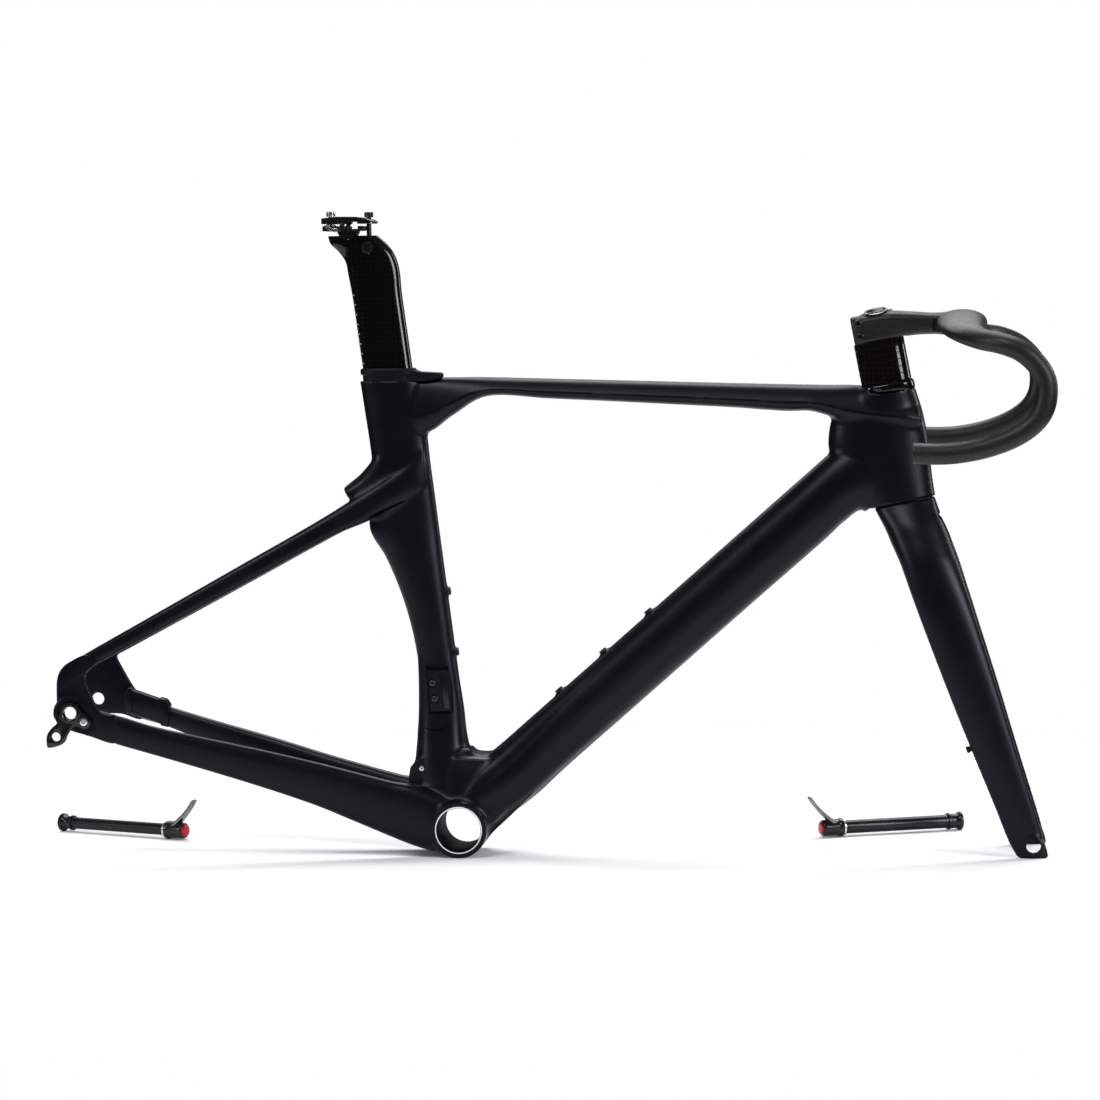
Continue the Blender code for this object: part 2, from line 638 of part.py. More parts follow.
def build_spacers():
    """The stack of aero spacers between the headset cover and the stem."""
    pitch = (SPACER_BOTTOM_S - SPACER_TOP_S) / SPACER_COUNT
    for k in range(SPACER_COUNT):
        top = SPACER_TOP_S + k * pitch + GAP
        bottom = top + pitch - GAP
        rings = [steering_ring(s, -28.0, 23.0, 18.6) for s in (top, bottom)]
        name = "spacer_%d" % (k + 1)
        spacer = loft(name, rings, GLOSS)
        bore = ((STEERER_RADIUS + GAP, -20), (STEERER_RADIUS + GAP, 60))
        cut(spacer, steering_profile_cut("cutter_" + name, bore, 20))


def build_fork():
    """Steerer, crown and both blades as one moulding, and its thread insert and cable guide."""
    body = tube("fork", FORK_CROWN, CARBON, square=2.6, sides=18)
    for label, side in SIDES:
        join(body, tube("guide_blade_" + label, FORK_BLADE, CARBON, side, square=2.3, sides=14))
        x, z = FRONT_AXLE
        join(body, rod("guide_hub_pad_" + label, (x, side * FRONT_HALF_SPACING, z), (x, side * 61, z),
                       10.5, CARBON, 24))
    cut(
        body,
        rod("cutter_fork_wheel", (x, -22, z), (x, 22, z), FORK_WHEEL_CLEARANCE, TOOL, 72),
        steering_profile_cut("cutter_crown_top", ((70, CROWN_TOP_S), (70, 60))))
    join(body, steering_profile_cut("guide_steerer", ((STEERER_RADIUS, -29), (STEERER_RADIUS, 172)), 24))
    cut(body, steering_profile_cut("cutter_steerer_bore", ((STEERER_BORE, -40), (STEERER_BORE, 60)), 20))
    cut(
        body,
        rod("cutter_front_axle_right", (x, -90, z), (x, -30, z), FRONT_AXLE_HOLE, TOOL, 20),
        rod("cutter_front_axle_left", (x, 30, z), (x, 90, z), 8.6 + GAP, TOOL, 20))
    washer("front_axle_thread_insert", (x, 0, z), (0, 1, 0), FRONT_AXLE_HOLE - 0.2, 8.6,
           FRONT_HALF_SPACING + 1, 60.0, ANODISED, 20)
    inner_end, outer_end = (428.5, -54.3, 112.5), (419.0, -54.3, 108.9)
    cut(body, rod("cutter_cable_guide", inner_end, outer_end, 3.2, TOOL, 12))
    rod("fork_cable_guide", (428.2, -54.3, 112.4), outer_end, 2.9, PLASTIC, 12)


def bar_rings(steps, sides, shrink=0.0, first=0):
    """Rings along the right half of the handlebar, from the middle out."""
    spots = through(BAR, steps)[first:]
    rings = []
    for k, (x, y, z, chord, thick) in enumerate(spots):
        before = Vector(spots[max(k - 1, 0)][:3])
        after = Vector(spots[min(k + 1, len(spots) - 1)][:3])
        along = (after - before).normalized()
        if k == 0 and first == 0:
            along = Vector((0, 1, 0))
        inward = Vector((0, 1, 0)) if abs(along.y) < 0.5 else Vector((-1, 0, 0))
        blend = min(max((abs(along.y) - 0.2) / 0.6, 0.0), 1.0)
        inward = Vector((-blend, 1.0 - blend, 0))
        wide = (inward - along * inward.dot(along)).normalized()
        tall = along.cross(wide)
        ring = []
        for n in range(sides):
            angle = 2 * math.pi * n / sides
            spot = Vector((x, y, z)) + wide * (chord - shrink) * math.cos(angle)
            spot += tall * (thick - shrink) * math.sin(angle)
            ring.append((spot.x, -spot.y, spot.z))
        rings.append(ring)
    return rings


def mirrored(rings):
    """The same rings on the other side of the middle plane."""
    return [[(x, -y, z) for x, y, z in ring] for ring in rings]


def build_cockpit():
    """Stem and handlebar as one moulding, open at both bar ends."""
    body = tube("cockpit", STEM, COCKPIT_CARBON, square=3.0, sides=18)
    half = bar_rings(1, 14)
    whole = list(reversed(mirrored(half[1:]))) + half
    join(body, loft("guide_bar", whole, COCKPIT_CARBON))
    last = len(BAR) - 1
    hollow = bar_rings(1, 12, BAR_WALL, first=last - 2)
    end = Vector(hollow[-1][0]) - Vector(hollow[-2][0])
    hollow.append([tuple(Vector(point) + end) for point in hollow[-1]])
    cut(
        body,
        loft("cutter_bar_right", hollow, TOOL),
        loft("cutter_bar_left", mirrored(hollow), TOOL),
        steering_profile_cut("cutter_stem_bore", ((STEERER_RADIUS + GAP, -60), (STEERER_RADIUS + GAP, 20)), 24),
        steering_profile_cut("cutter_cap_seat", ((CAP_RADIUS + GAP, -60), (CAP_RADIUS + GAP, CAP_SEAT_S)), 24),
        prism("cutter_stem_slot", ((290, 500), (290, 560), (331, 560), (337, 500)), -1.0, 1.0, TOOL),
        prism("cutter_stem_foot", stem_foot_outline(), -40, 40, TOOL))
    for label, x, z in (("upper", 314.5, 537.2), ("lower", 316.6, 523.8)):
        cut(body, rod("cutter_stem_screw_" + label, (x, -40, z), (x, 12, z), 2.9, TOOL, 12))
        cut(body, rod("cutter_stem_head_" + label, (x, -40, z), (x, -15.2, z), 4.2, TOOL, 12))
        screw("stem_screw_" + label, (x, -15.0, z), (0, -1, 0), 2.5, 3.8, 3.2, 26.0, DARK_STEEL)


def stem_foot_outline():
    """The room for the spacers below the stem's flat foot."""
    corners = ((-60, SPACER_TOP_S), (24.5, SPACER_TOP_S), (24.5, 40), (-60, 40))
    return [(x, z) for x, y, z in (steer_point(forward, 0, s) for forward, s in corners)]


def build_top_cap():
    """Top cap, its bolt and the expander inside the steerer."""
    axis = (math.sin(STEER_LEAN), 0, -math.cos(STEER_LEAN))
    origin = steer_point(0, 0, 0)
    foot = CAP_SEAT_S - GAP
    cap = turned("top_cap", origin, axis, (
        (8.0, foot - 5.0), (12.5, foot - 4.4), (15.8, foot - 2.9), (CAP_RADIUS, foot)), ANODISED, 24)
    seat = foot - 2.6
    cut(cap, steering_profile_cut("cutter_cap_bolt", ((5.6, -50), (5.6, seat), (3.2, seat), (3.2, -28)), 16))
    turned("top_cap_bolt", origin, axis, (
        (2.6, seat - 1.2), (2.6, seat - 2.6), (5.2, seat - 2.6), (5.2, seat - GAP), (2.8, seat - GAP),
        (2.8, -8)), DARK_STEEL, 12)
    wall = STEERER_BORE - GAP
    plug = turned("steerer_expander", origin, axis, ((wall, -26), (wall, 18)), BRIGHT, 20)
    cut(plug, steering_profile_cut("cutter_expander", ((3.2, -40), (3.2, -6)), 12))


def build_seatpost():
    """Aero seatpost with a groove for the saddle cradle and a cross hole for the clamp barrel."""
    straight = [post_section(t) for t in (POST_BOTTOM_T, POST_STRAIGHT_T)]
    stations = through([straight[-1]] + list(POST_HEAD), 2)
    rings = [oval(s, 1, 2.5, 18) for s in [straight[0]] + stations]
    post = loft("seatpost", rings, GLOSS)
    x, z = TILT_PIVOT
    cut(
        post,
        rod("cutter_cradle_groove", (x, -30, z), (x, 30, z), CRADLE_RADIUS + GAP, TOOL, 32),
        rod("cutter_barrel", (-182.5, -30, 621.5), (-182.5, 30, 621.5), 6.6, TOOL, 20),
        prism("cutter_front_bolt_slot", ((-189, 622), (-189, 660), (-173, 660), (-176, 622)), -4.2, 4.2, TOOL))
    rod("seatpost_barrel_nut", (-182.5, -13.5, 621.5), (-182.5, 13.5, 621.5), 6.3, DARK_STEEL, 16)


def build_saddle_clamp():
    """Cradle, rail clamp and both clamp bolts, which tilt about the cradle's axis."""
    x, z = TILT_PIVOT
    cradle_profile = [(x + CRADLE_RADIUS * math.cos(a), z + CRADLE_RADIUS * math.sin(a))
                      for a in (math.radians(180 + 15 * k) for k in range(13))]
    cradle = prism("saddle_cradle", cradle_profile, -15.0, 15.0, DARK_STEEL)
    seat = ((-226, 638.4), (-189, 638.4), (-187, 641), (-187, CRADLE_TOP_Z), (-226, CRADLE_TOP_Z))
    join(cradle, prism("guide_cradle_plate", seat, -28, 28, DARK_STEEL))
    plate = ((-227, 645.6), (-177, 645.6), (-176, 648), (-181, 650.5), (-192, 652.6), (-212, 653), (-227, 651.5))
    clamp = prism("rail_clamp", plate, -28, 28, BRIGHT)
    for label, side in SIDES:
        y = side * RAIL_HALF_SPACING
        for piece in (cradle, clamp):
            cut(piece, rod("cutter_rail_%s_%s" % (label, piece.name), (-240, y, RAIL_Z), (-160, y, RAIL_Z),
                           RAIL_RADIUS, TOOL, 16))
    cut(clamp, prism("cutter_clamp_waist", ((-213, 640), (-213, 660), (-191, 660), (-191, 640)), -15.5, 15.5, TOOL))
    for label, bolt_x, low, look in (("rear", -221.0, 638.8, BRIGHT), ("front", -182.0, 631.0, DARK_STEEL)):
        cut(clamp, rod("cutter_clamp_bolt_" + label, (bolt_x, 0, 600), (bolt_x, 0, 670), 3.0, TOOL, 12))
        top = 653.2 if label == "rear" else 652.0
        screw("clamp_bolt_" + label, (bolt_x, 0, top), (0, 0, 1), 2.5, 4.6, 5.4, top - low, look)
    cut(cradle, rod("cutter_cradle_bolt", (-221, 0, 600), (-221, 0, 670), 3.0, TOOL, 12))


def build_seat_clamp():
    """The wedge in front of the seatpost, its bolt and the cover strip over both."""
    wedge_outline = [post_point(u, 0, t) for u, t in ((26.2, -52), (39, -52), (41, -30), (26.2, -30))]
    wedge = prism("seat_clamp_wedge", [(x, z) for x, y, z in wedge_outline], -8.6, 8.6, ANODISED)
    axis = (-math.sin(POST_LEAN), 0, math.cos(POST_LEAN))
    bolt_foot = post_point(33, 0, -29.5)
    cut(wedge, turned("cutter_wedge_bolt", bolt_foot, axis, ((2.9, -40), (2.9, 20)), TOOL, 12))
    screw("seat_clamp_bolt", bolt_foot, axis, 2.5, 4.0, 3.6, 20.0, DARK_STEEL)
    outline = (
        (-192.8, 482.8), (-138, 482.8), (-110.2, 488.4), (-110.2, 491.2), (-131, 495.2), (-141, 498.4),
        (-192.8, 498.4))
    cover = prism("seat_clamp_cover", outline, -15.4, 15.4, PLASTIC)
    bore = [oval(post_section(t, 0.5), 1, 2.5, 16) for t in (-60, 60)]
    cut(cover, loft("cutter_cover_post", bore, TOOL))


def build_thru_axle(label, spec):
    """A thru-axle lying on the floor: shaft, end nut, washer, lever with its housing, and end cap."""
    (x, y), yaw, length, radius, sign = spec
    direction = Vector((sign * math.cos(yaw), math.sin(yaw), 0))
    origin = (x, y, AXLE_FLANGE)
    nut_start = length - 16
    turned(label + "_axle_shaft", origin, direction, ((radius, 27.2), (radius, nut_start - GAP)), ANODISED, 20)
    washer(label + "_axle_washer", origin, direction, radius * 0.4, AXLE_FLANGE - 0.8, 24.9, 26.9, BRIGHT, 20)
    turned(label + "_axle_nut", origin, direction, (
        (radius + 1.8, nut_start), (radius + 1.8, nut_start + 3), (radius + 0.6, nut_start + 3.4),
        (radius + 0.6, length - 4), (AXLE_FLANGE, length - 3), (AXLE_FLANGE, length)), ANODISED, 20)
    lever = turned(label + "_axle_lever", origin, direction, (
        (8.0, 2.0), (8.6, 4.0), (8.6, 20.0), (AXLE_FLANGE, 21.0), (AXLE_FLANGE, 24.6)), LEVER_GREY, 20)
    arm_spots = (
        (14.0, 5.5, 4.2, 6.5), (7.5, 11.5, 3.6, 6.0), (1.0, 17.5, 2.8, 5.2), (-4.5, 23.5, 2.4, 4.8),
        (-9.0, 29.5, 2.2, 4.4), (-11.5, 33.5, 1.6, 3.4))
    side = direction.cross(Vector((0, 0, 1)))
    rings = []
    for along, up, thick, half in through(arm_spots, 2):
        ring = []
        for k in range(10):
            angle = 2 * math.pi * k / 10
            spot = Vector(origin) + direction * (along + thick * math.cos(angle)) + side * half * math.sin(angle)
            ring.append((spot.x, spot.y, spot.z + up))
        rings.append(ring)
    join(lever, loft("guide_lever_" + label, rings, LEVER_GREY))
    turned(label + "_axle_cap", origin, direction, ((5.2, 0.0), (6.6, 0.8), (6.6, 1.7)), RED_ANODISED, 20)


def set_origins(names, point):
    """Put each named piece's origin on its joint's axis, with its shape left in place."""
    origin = place(*point)
    for name in names:
        body = bpy.data.objects[name]
        body.data.transform(Matrix.Translation(-origin))
        body.location = origin


def put_origins_on_joints():
    """Steered, sliding, tilting and lying pieces turn or slide about their own origins."""
    spacers = tuple("spacer_%d" % (k + 1) for k in range(SPACER_COUNT))
    set_origins(STEERED + spacers, steer_point(0, 0, 0))
    set_origins(("seatpost", "seatpost_barrel_nut"), post_point(0, 0, 0))
    set_origins(("saddle_cradle", "rail_clamp", "clamp_bolt_rear", "clamp_bolt_front"),
                (TILT_PIVOT[0], 0, TILT_PIVOT[1]))
    for label, spec in (("rear", REAR_THRU_AXLE), ("front", FRONT_THRU_AXLE)):
        names = ["%s_axle_%s" % (label, piece) for piece in ("shaft", "nut", "washer", "lever", "cap")]
        set_origins(names, (*spec[0], AXLE_FLANGE))


def clear_scene():
    """Remove every object that the file started with."""
    for item in list(bpy.data.objects):
        bpy.data.objects.remove(item, do_unlink=True)


def main():
    clear_scene()
    build_front_triangle()
    build_stays()
    build_hanger()
    build_bottom_bracket()
    build_frame_fittings()
    build_headset()
    build_spacers()
    build_fork()
    build_cockpit()
    build_top_cap()
    build_seatpost()
    build_saddle_clamp()
    build_seat_clamp()
    build_thru_axle("rear", REAR_THRU_AXLE)
    build_thru_axle("front", FRONT_THRU_AXLE)
    put_origins_on_joints()


main()
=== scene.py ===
"""Looks of a carbon road bicycle frameset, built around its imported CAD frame.

Shapes are drawn in millimetres in the same drawing as the part: x forward, y to the rider's left,
z up, with the bottom bracket at BOTTOM_BRACKET. The function place turns them into metres in the
row frame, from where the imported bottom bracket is.
"""

import json
import math

import bmesh
import bpy
import numpy as np
from mathutils import Matrix, Vector


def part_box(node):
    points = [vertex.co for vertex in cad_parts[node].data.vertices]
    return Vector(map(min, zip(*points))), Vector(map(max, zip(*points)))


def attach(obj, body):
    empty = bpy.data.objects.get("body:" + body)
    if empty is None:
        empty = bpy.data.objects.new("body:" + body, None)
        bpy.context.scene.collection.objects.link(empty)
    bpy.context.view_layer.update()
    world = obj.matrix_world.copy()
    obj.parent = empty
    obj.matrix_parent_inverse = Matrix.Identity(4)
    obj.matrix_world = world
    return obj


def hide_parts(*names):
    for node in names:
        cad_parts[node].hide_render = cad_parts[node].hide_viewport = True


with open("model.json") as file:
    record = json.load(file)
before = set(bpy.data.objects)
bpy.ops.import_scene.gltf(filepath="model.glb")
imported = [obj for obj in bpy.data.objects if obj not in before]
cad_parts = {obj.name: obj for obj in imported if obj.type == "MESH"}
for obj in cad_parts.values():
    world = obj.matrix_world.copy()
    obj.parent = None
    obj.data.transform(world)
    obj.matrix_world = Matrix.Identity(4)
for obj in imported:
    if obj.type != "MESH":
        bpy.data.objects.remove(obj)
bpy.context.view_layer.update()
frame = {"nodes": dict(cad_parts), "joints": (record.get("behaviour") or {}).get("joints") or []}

MM = 0.001
RIGHT_LEFT = (("right", -1), ("left", 1))
JOINTS = {joint["name"]: joint for joint in frame["joints"]}

BOTTOM_BRACKET = (-96.0, 28.7)
BB_RADIUS = 28.7
BB_HALF_WIDTH = 43.25
BB_WEB_HALF_WIDTH = 22.0
SLEEVE_SEAT_RADIUS = 24.1
REAR_AXLE = (-486.5, 154.5)
DROPOUT_INNER, DROPOUT_OUTER = 71.0, 78.0
FRONT_AXLE = (485.0, 12.0)
WHEEL_CLEARANCE = 350.0
FORK_WHEEL_CLEARANCE = 344.0

# Steering axis: a point on it and its lean; s is the distance along it, downwards.
STEER_POINT = (338.0, 515.0)
STEER_LEAN = math.radians(10.2)
HEAD_TOP_S = 49.5
HEAD_BOTTOM_S = 159.3
CROWN_TOP_S = 160.3
SPACER_TOP_S = -4.7
SPACER_BOTTOM_S = 38.0
SPACER_COUNT = 6
STEERER_RADIUS = 14.3
SPACER_BORE_RADIUS = 14.6
BEARING_SEAT_RADIUS = 21.1
HEAD_BORE_RADIUS = 17.3
COVER_BORE_RADIUS = 17.5

# Seatpost axis: a point on it and its lean; t is the distance along it, upwards.
POST_POINT = (-165.5, 500.0)
POST_LEAN = math.radians(7.2)
POST_HALF_DEPTH = 25.2
POST_HALF_WIDTH = 11.5
POST_SQUARE = 2.7
TILT_PIVOT = (-203.0, 640.0)
BARREL_NUT = (-182.5, 621.5)
CLAMP_BOLT_REAR_X, CLAMP_BOLT_FRONT_X = -221.0, -182.0

BAR_HALF_REACH = 205.0
BAR_RADIUS = 10.5

BAR_STEPS = 10
STEM_SCREWS = (("upper", (314.5, 537.2)), ("lower", (316.6, 523.8)))

SKIN_VOXEL = 1.3
BEYOND = 90.0                    # a sideways place outside everything that a tool has to pass through

# Stations along each tube: first edge (x, z), second edge (x, z), sideways centre, half width.
SEAT_TUBE_LOW = ((-128, 40, -78, 62, 0, 24), (-138, 66, -84, 88, 0, 20), (-143, 92, -88, 112, 0, 17))
SEAT_TUBE_HEIGHTS = (135, 165, 200, 235, 270, 305, 335)
SEAT_TUBE_FOOT = (
    (-124, 18, -84, 40, 0, 40.0),
    (-133, 44, -80, 66, 0, 33.0),
    (-140, 68, -82, 88, 0, 30.0),
    (-143.5, 92, -88.5, 110, 0, 26.0),
    (-141.5, 118, -91, 128, 0, 22.0),
    (-139.5, 145, -93, 150, 0, 18.8),
    (-139, 180, -97.5, 182, 0, 16.0),
    (-140, 215, -102, 216, 0, 14.5),
)
# The webs that fill the corner between the seat tube and the down tube.
BB_FILL = (
    (-116, 12, -54, 38, 0, 40.5),
    (-121, 42, -40, 50, 0, 38.5),
    (-125, 68, -24, 66, 0, 35.5),
    (-126, 88, -18, 84, 0, 32.0),
    (-122, 102, -28, 98, 0, 28.0),
)
SEAT_TUBE_HIGH = (
    (-182.5, 372, -119.6, 372, 0, 15.5),
    (-183.5, 408, -123.5, 405, 0, 15.5),
    (-190.5, 461, -128.0, 455, 0, 15.5),
    (-194.5, 490, -132.0, 490, 0, 15.5),
)
TOP_TUBE = (
    (-150, 488.0, -150, 425.0, 0, 14.0),
    (-122, 488.5, -121, 434.0, 0, 15.2),
    (-100, 488.2, -99, 449.5, 0, 16.0),
    (-62, 487.8, -62, 468.8, 0, 17.2),
    (0, 485.5, 0, 465.3, 0, 17.8),
    (62, 483.2, 62, 461.8, 0, 18.5),
    (123, 480.9, 123, 458.0, 0, 19.2),
    (184, 478.6, 184, 454.2, 0, 20.0),
    (240, 476.7, 238, 449.8, 0, 21.5),
    (266, 475.9, 263, 449.6, 0, 22.3),
    (284, 475.4, 280, 445.5, 0, 23.0),
    (304, 475.2, 300, 438.0, 0, 24.2),
    (326, 473.6, 324, 432.5, 0, 25.2),
    (346, 470.5, 346, 430.5, 0, 25.4),
    (362, 464.0, 364, 430.5, 0, 23.8),
    (374, 456.0, 377, 433.0, 0, 19.5),
)
TOP_TUBE_RIDGE = 0.34            # how far below its middle the top tube is widest
HEAD_TUBE = (
    (331, 334, 392.5, 345, 0, 23.0),
    (312, 354, 390.5, 360, 0, 23.6),
    (299, 378, 387.2, 382, 0, 24.2),
    (284.6, 404, 384.8, 408, 0, 24.2),
    (283.6, 428, 381.8, 430, 0, 24.0),
    (291, 448, 377.6, 450, 0, 23.8),
    (318, 475, 369.5, 476, 0, 23.4),
)
DOWN_TUBE = (
    (312, 428, 352, 354, 0, 23.0),
    (286, 408, 319, 350.5, 0, 26.0),
    (262, 387.2, 297, 336.0, 0, 27.0),
    (236, 364.8, 274, 315, 0, 27.5),
    (160, 298.9, 200.6, 252.0, 0, 27.5),
    (60, 212.3, 100.6, 165.4, 0, 28.0),
    (-25, 138.7, 15.6, 91.8, 0, 30.0),
    (-58, 110.5, -20, 59.5, 0, 34.5),
    (-82, 92, -60, 30, 0, 39.5),
    (-104, 66, -86, 6, 0, 40.5),
)
DOWN_TUBE_ROOT = (
    (60, 211.0, 99, 166.0, 0, 22.5),
    (-25, 138.0, 14, 93.0, 0, 27.8),
    (-58, 110.0, -22, 60.5, 0, 32.6),
    (-80, 92, -60, 32, 0, 38.0),
    (-100, 66, -86, 8, 0, 39.5),
)
YOKE = (
    (-168, 432, -158, 352, 0, 14.0),
    (-180, 409, -172, 346, 0, 16.0),
    (-193, 392.5, -187, 347, 0, 18.5),
    (-203, 384, -197, 357, 0, 19.8),
    (-211.5, 377.3, -203.8, 363.2, 0, 21.0),
)
BB_WEB = (
    (-148, 36), (-149, 72), (-141, 98), (-92, 109), (-82, 104.5), (-66, 103.5),
    (-48, 110), (-10, 80), (-62, 25), (-78, 8), (-96, 3),
)
SEATSTAY = (
    (-130, 424, -126, 372, 3.5, 8.5),
    (-138.5, 412, -133, 368, 7.0, 8.6),
    (-148, 401, -144, 364, 9.6, 8.7),
    (-164, 389, -158, 357.5, 11.8, 8.8),
    (-182, 377.3, -173, 350, 14.2, 8.4),
    (-201, 366, -188.5, 342, 18.5, 7.8),
    (-226, 350.5, -215, 331.5, 27, 7.0),
    (-259, 331.5, -249.3, 314, 36, 6.4),
    (-311, 302.8, -302, 286, 47.5, 6.0),
    (-365, 272.8, -356.5, 257.2, 58.5, 5.8),
    (-420, 242.3, -412.3, 228, 69, 5.2),
    (-456.6, 222.2, -448.5, 209, 73.5, 4.4),
    (-478, 210, -468, 199, 74.5, 3.7),
)
CHAINSTAY_ROOT = (
    (-100, 56, -98, 3, 29, 13.0),
    (-122, 66, -116, 4.5, 29.5, 12.5),
    (-145, 74.5, -139, 10.5, 30.5, 11.5),
    (-166, 78.5, -167, 21.5, 31.5, 10.0),
    (-203.5, 88.6, -206, 38.6, 34.5, 8.8),
    (-242, 99.2, -245, 55.6, 39.5, 8.2),
)
CHAINSTAY_RIGHT = (
    (-300, 114.2, -302, 76.6, 49, 7.6),
    (-360, 128.6, -362, 96.8, 59.5, 6.8),
    (-405, 140.2, -407, 111.6, 68.5, 6.2),
    (-431, 149.0, -437, 121, 72.6, 5.5),
    (-458, 157, -464, 131, 74.5, 3.8),
)
CHAINSTAY_LEFT = (
    (-300, 116.0, -302, 80.0, 49, 7.6),
    (-360, 132.0, -362, 105.0, 59.5, 6.8),
    (-405, 144.5, -407, 123.0, 68.5, 6.2),
    (-431, 153.0, -437, 132.0, 72.6, 5.5),
    (-458, 160, -464, 139.0, 74.5, 3.8),
)
DROPOUT = (
    (-470, 213.5), (-487, 206.0), (-495, 199), (-499, 190), (-500, 176), (-499.5, 150),
    (-496, 142), (-487, 136.6), (-466, 130.4), (-440, 124), (-440, 150), (-449, 152.4),
    (-456, 155.5), (-460.5, 162), (-466, 174), (-470.6, 186), (-469.4, 195), (-461, 202.5),
    (-457, 208),
)
# The left dropout, whose lower edge is higher, and the brake mount's pad with its two ridges.
DROPOUT_LEFT = (
    (-470, 213.5), (-487, 206.0), (-495, 199), (-499, 190), (-500, 176), (-500.5, 154),
    (-498, 146), (-491, 140.6), (-482, 139.0), (-462, 138.5), (-440, 133), (-436, 154), (-444, 160),
    (-449, 166), (-455, 176), (-461, 187), (-466, 198), (-462, 203), (-457, 208),
)
BRAKE_PAD = ((-452, 140), (-452, 165.2), (-418, 153.2), (-411, 150.0), (-411, 126))
BRAKE_RIDGES = (
    ((-456.5, 158.0), (-453.0, 166.6), (-448.5, 166.0), (-449, 139), (-456, 141)),
    ((-420.5, 155.6), (-413.5, 153.8), (-409.5, 148), (-411, 125), (-419, 127)),
)
FORK_CROWN = (
    (386.0, 374, 326, 363, 0, 23.6),
    (389.2, 362, 329, 350, 0, 25.4),
    (393.2, 350, 334, 340.5, 0, 30.0),
    (398, 337, 339.5, 330, 0, 35.2),
    (403, 322, 346, 317, 0, 39.0),
    (405, 310, 354, 307, 0, 40.0),
    (404, 296, 366, 296, 0, 37.0),
)
FORK_BLADE = (
    (388.5, 362, 329, 350, 11, 14.2),
    (392.0, 350, 334, 340.5, 14.5, 16.3),
    (398, 337, 339.5, 330, 18.5, 18.3),
    (404, 322, 345, 317, 23.0, 19.0),
    (408.5, 309, 350, 306, 28.0, 18.2),
    (413.4, 295, 355.5, 293, 33.5, 16.2),
    (422.5, 265, 366, 263, 41.8, 12.3),
    (431.7, 234.5, 376.8, 233, 46.9, 10.2),
    (450, 174, 399.2, 172.5, 51.4, 8.4),
    (467.5, 113.5, 422.6, 112, 54.0, 7.2),
    (485.5, 53, 446.2, 53, 55.4, 6.0),
    (494.5, 22, 458, 22, 55.5, 5.4),
    (499.4, 4, 467, 4, 55.5, 5.2),
    (498, 0, 472, 0, 55.5, 4.8),
)
STEM = (
    (306.0, 543.0, 311.6, 512.0, 0, 15.0),
    (316, 544.8, 321, 513.5, 0, 19.0),
    (341, 549.4, 346, 518.0, 0, 19.5),
    (362, 549.0, 364, 523.8, 0, 19.0),
    (388, 547.0, 389, 525.4, 0, 19.0),
    (404, 547.5, 405, 524.5, 0, 23.0),
    (420, 548.5, 420, 528.0, 0, 34.0),
)
STEM_PANEL = ((311.0, 538.2), (340.0, 541.6), (386.5, 540.4), (386.5, 527.2), (372, 527.2), (358, 523.6),
              (345, 519.6), (312.5, 518.0))
STEM_FACET = ((389.5, 542.0), (404.5, 537.5), (400.0, 527.5), (389.5, 527.0))
# Handlebar from the middle to the right-hand end: x, y, z, half chord, half thickness.
BAR = (
    (419, 0, 538.5, 24, 11.5),
    (419, 60, 537.0, 25, 11.5),
    (420, 112, 532.6, 23, 10.5),
    (426, 152, 527.4, 18, 9.8),
    (439, 183, 522.4, 13.5, 10.0),
    (457, 200, 518.8, 11, BAR_RADIUS),
    (475, BAR_HALF_REACH, 511.5, BAR_RADIUS, BAR_RADIUS),
    (489.5, BAR_HALF_REACH, 499.0, BAR_RADIUS, BAR_RADIUS),
    (498, BAR_HALF_REACH, 484.5, BAR_RADIUS, BAR_RADIUS),
    (499.5, BAR_HALF_REACH, 470, BAR_RADIUS, BAR_RADIUS),
    (496, BAR_HALF_REACH, 454.5, BAR_RADIUS, BAR_RADIUS),
    (486, BAR_HALF_REACH, 441, BAR_RADIUS, BAR_RADIUS),
    (468, BAR_HALF_REACH, 429, BAR_RADIUS, BAR_RADIUS),
    (444, BAR_HALF_REACH, 420, BAR_RADIUS, BAR_RADIUS),
    (420, BAR_HALF_REACH, 415, BAR_RADIUS, BAR_RADIUS),
    (398, BAR_HALF_REACH, 413.2, BAR_RADIUS, BAR_RADIUS),
    (370, BAR_HALF_REACH, 414, BAR_RADIUS, BAR_RADIUS),
)
POST_HEAD = (
    (-204.0, 594, -151.0, 594, 0, 11.5),
    (-206.5, 607, -153.6, 607, 0, 11.6),
    (-213.0, 617, -158.0, 617, 0, 11.9),
    (-221.5, 625.5, -164.5, 625.5, 0, 12.6),
    (-224.0, 633.6, -173.5, 633.6, 0, 13.4),
)
CLAMP_ARM = (
    (-224.5, 645.0), (-221.0, 645.2), (-215.5, 641.6), (-210.5, 640.6), (-210.5, 637.6), (-216.5, 637.8),
    (-222.5, 641.4),
)
CLAMP_STRUT = ((-207.4, 646.2), (-203.6, 646.2), (-207.8, 637.8), (-211.4, 637.8))
HANGER = (
    (-497.5, 153.5), (-494, 162.5), (-486.5, 166.0), (-479.5, 163.0), (-471.5, 153.0),
    (-466.0, 148.5), (-466.5, 141.5), (-472.0, 138.2), (-481.0, 141.5), (-488.5, 133.5),
    (-492.5, 125.0), (-500.0, 121.0), (-509.5, 119.5), (-511.0, 124.5), (-510.5, 132.0),
    (-506.0, 139.0), (-499.5, 145.0),
)
HANGER_HOLE = (-501.2, 130.4)
HANGER_SCREW = (-472.4, 145.6)
BOTTLE_BOSSES = (
    ("down_tube_upper", 98.3, 246.2), ("down_tube_middle", 51.6, 205.8), ("down_tube_lower", 6.0, 166.3),
    ("seat_tube_upper", -107.8, 269.7), ("seat_tube_lower", -100.6, 207.5),
)
DERAILLEUR_PLATE = ((-127.6, 189.6), (-107.0, 189.0), (-103.2, 147.6), (-125.6, 147.6))
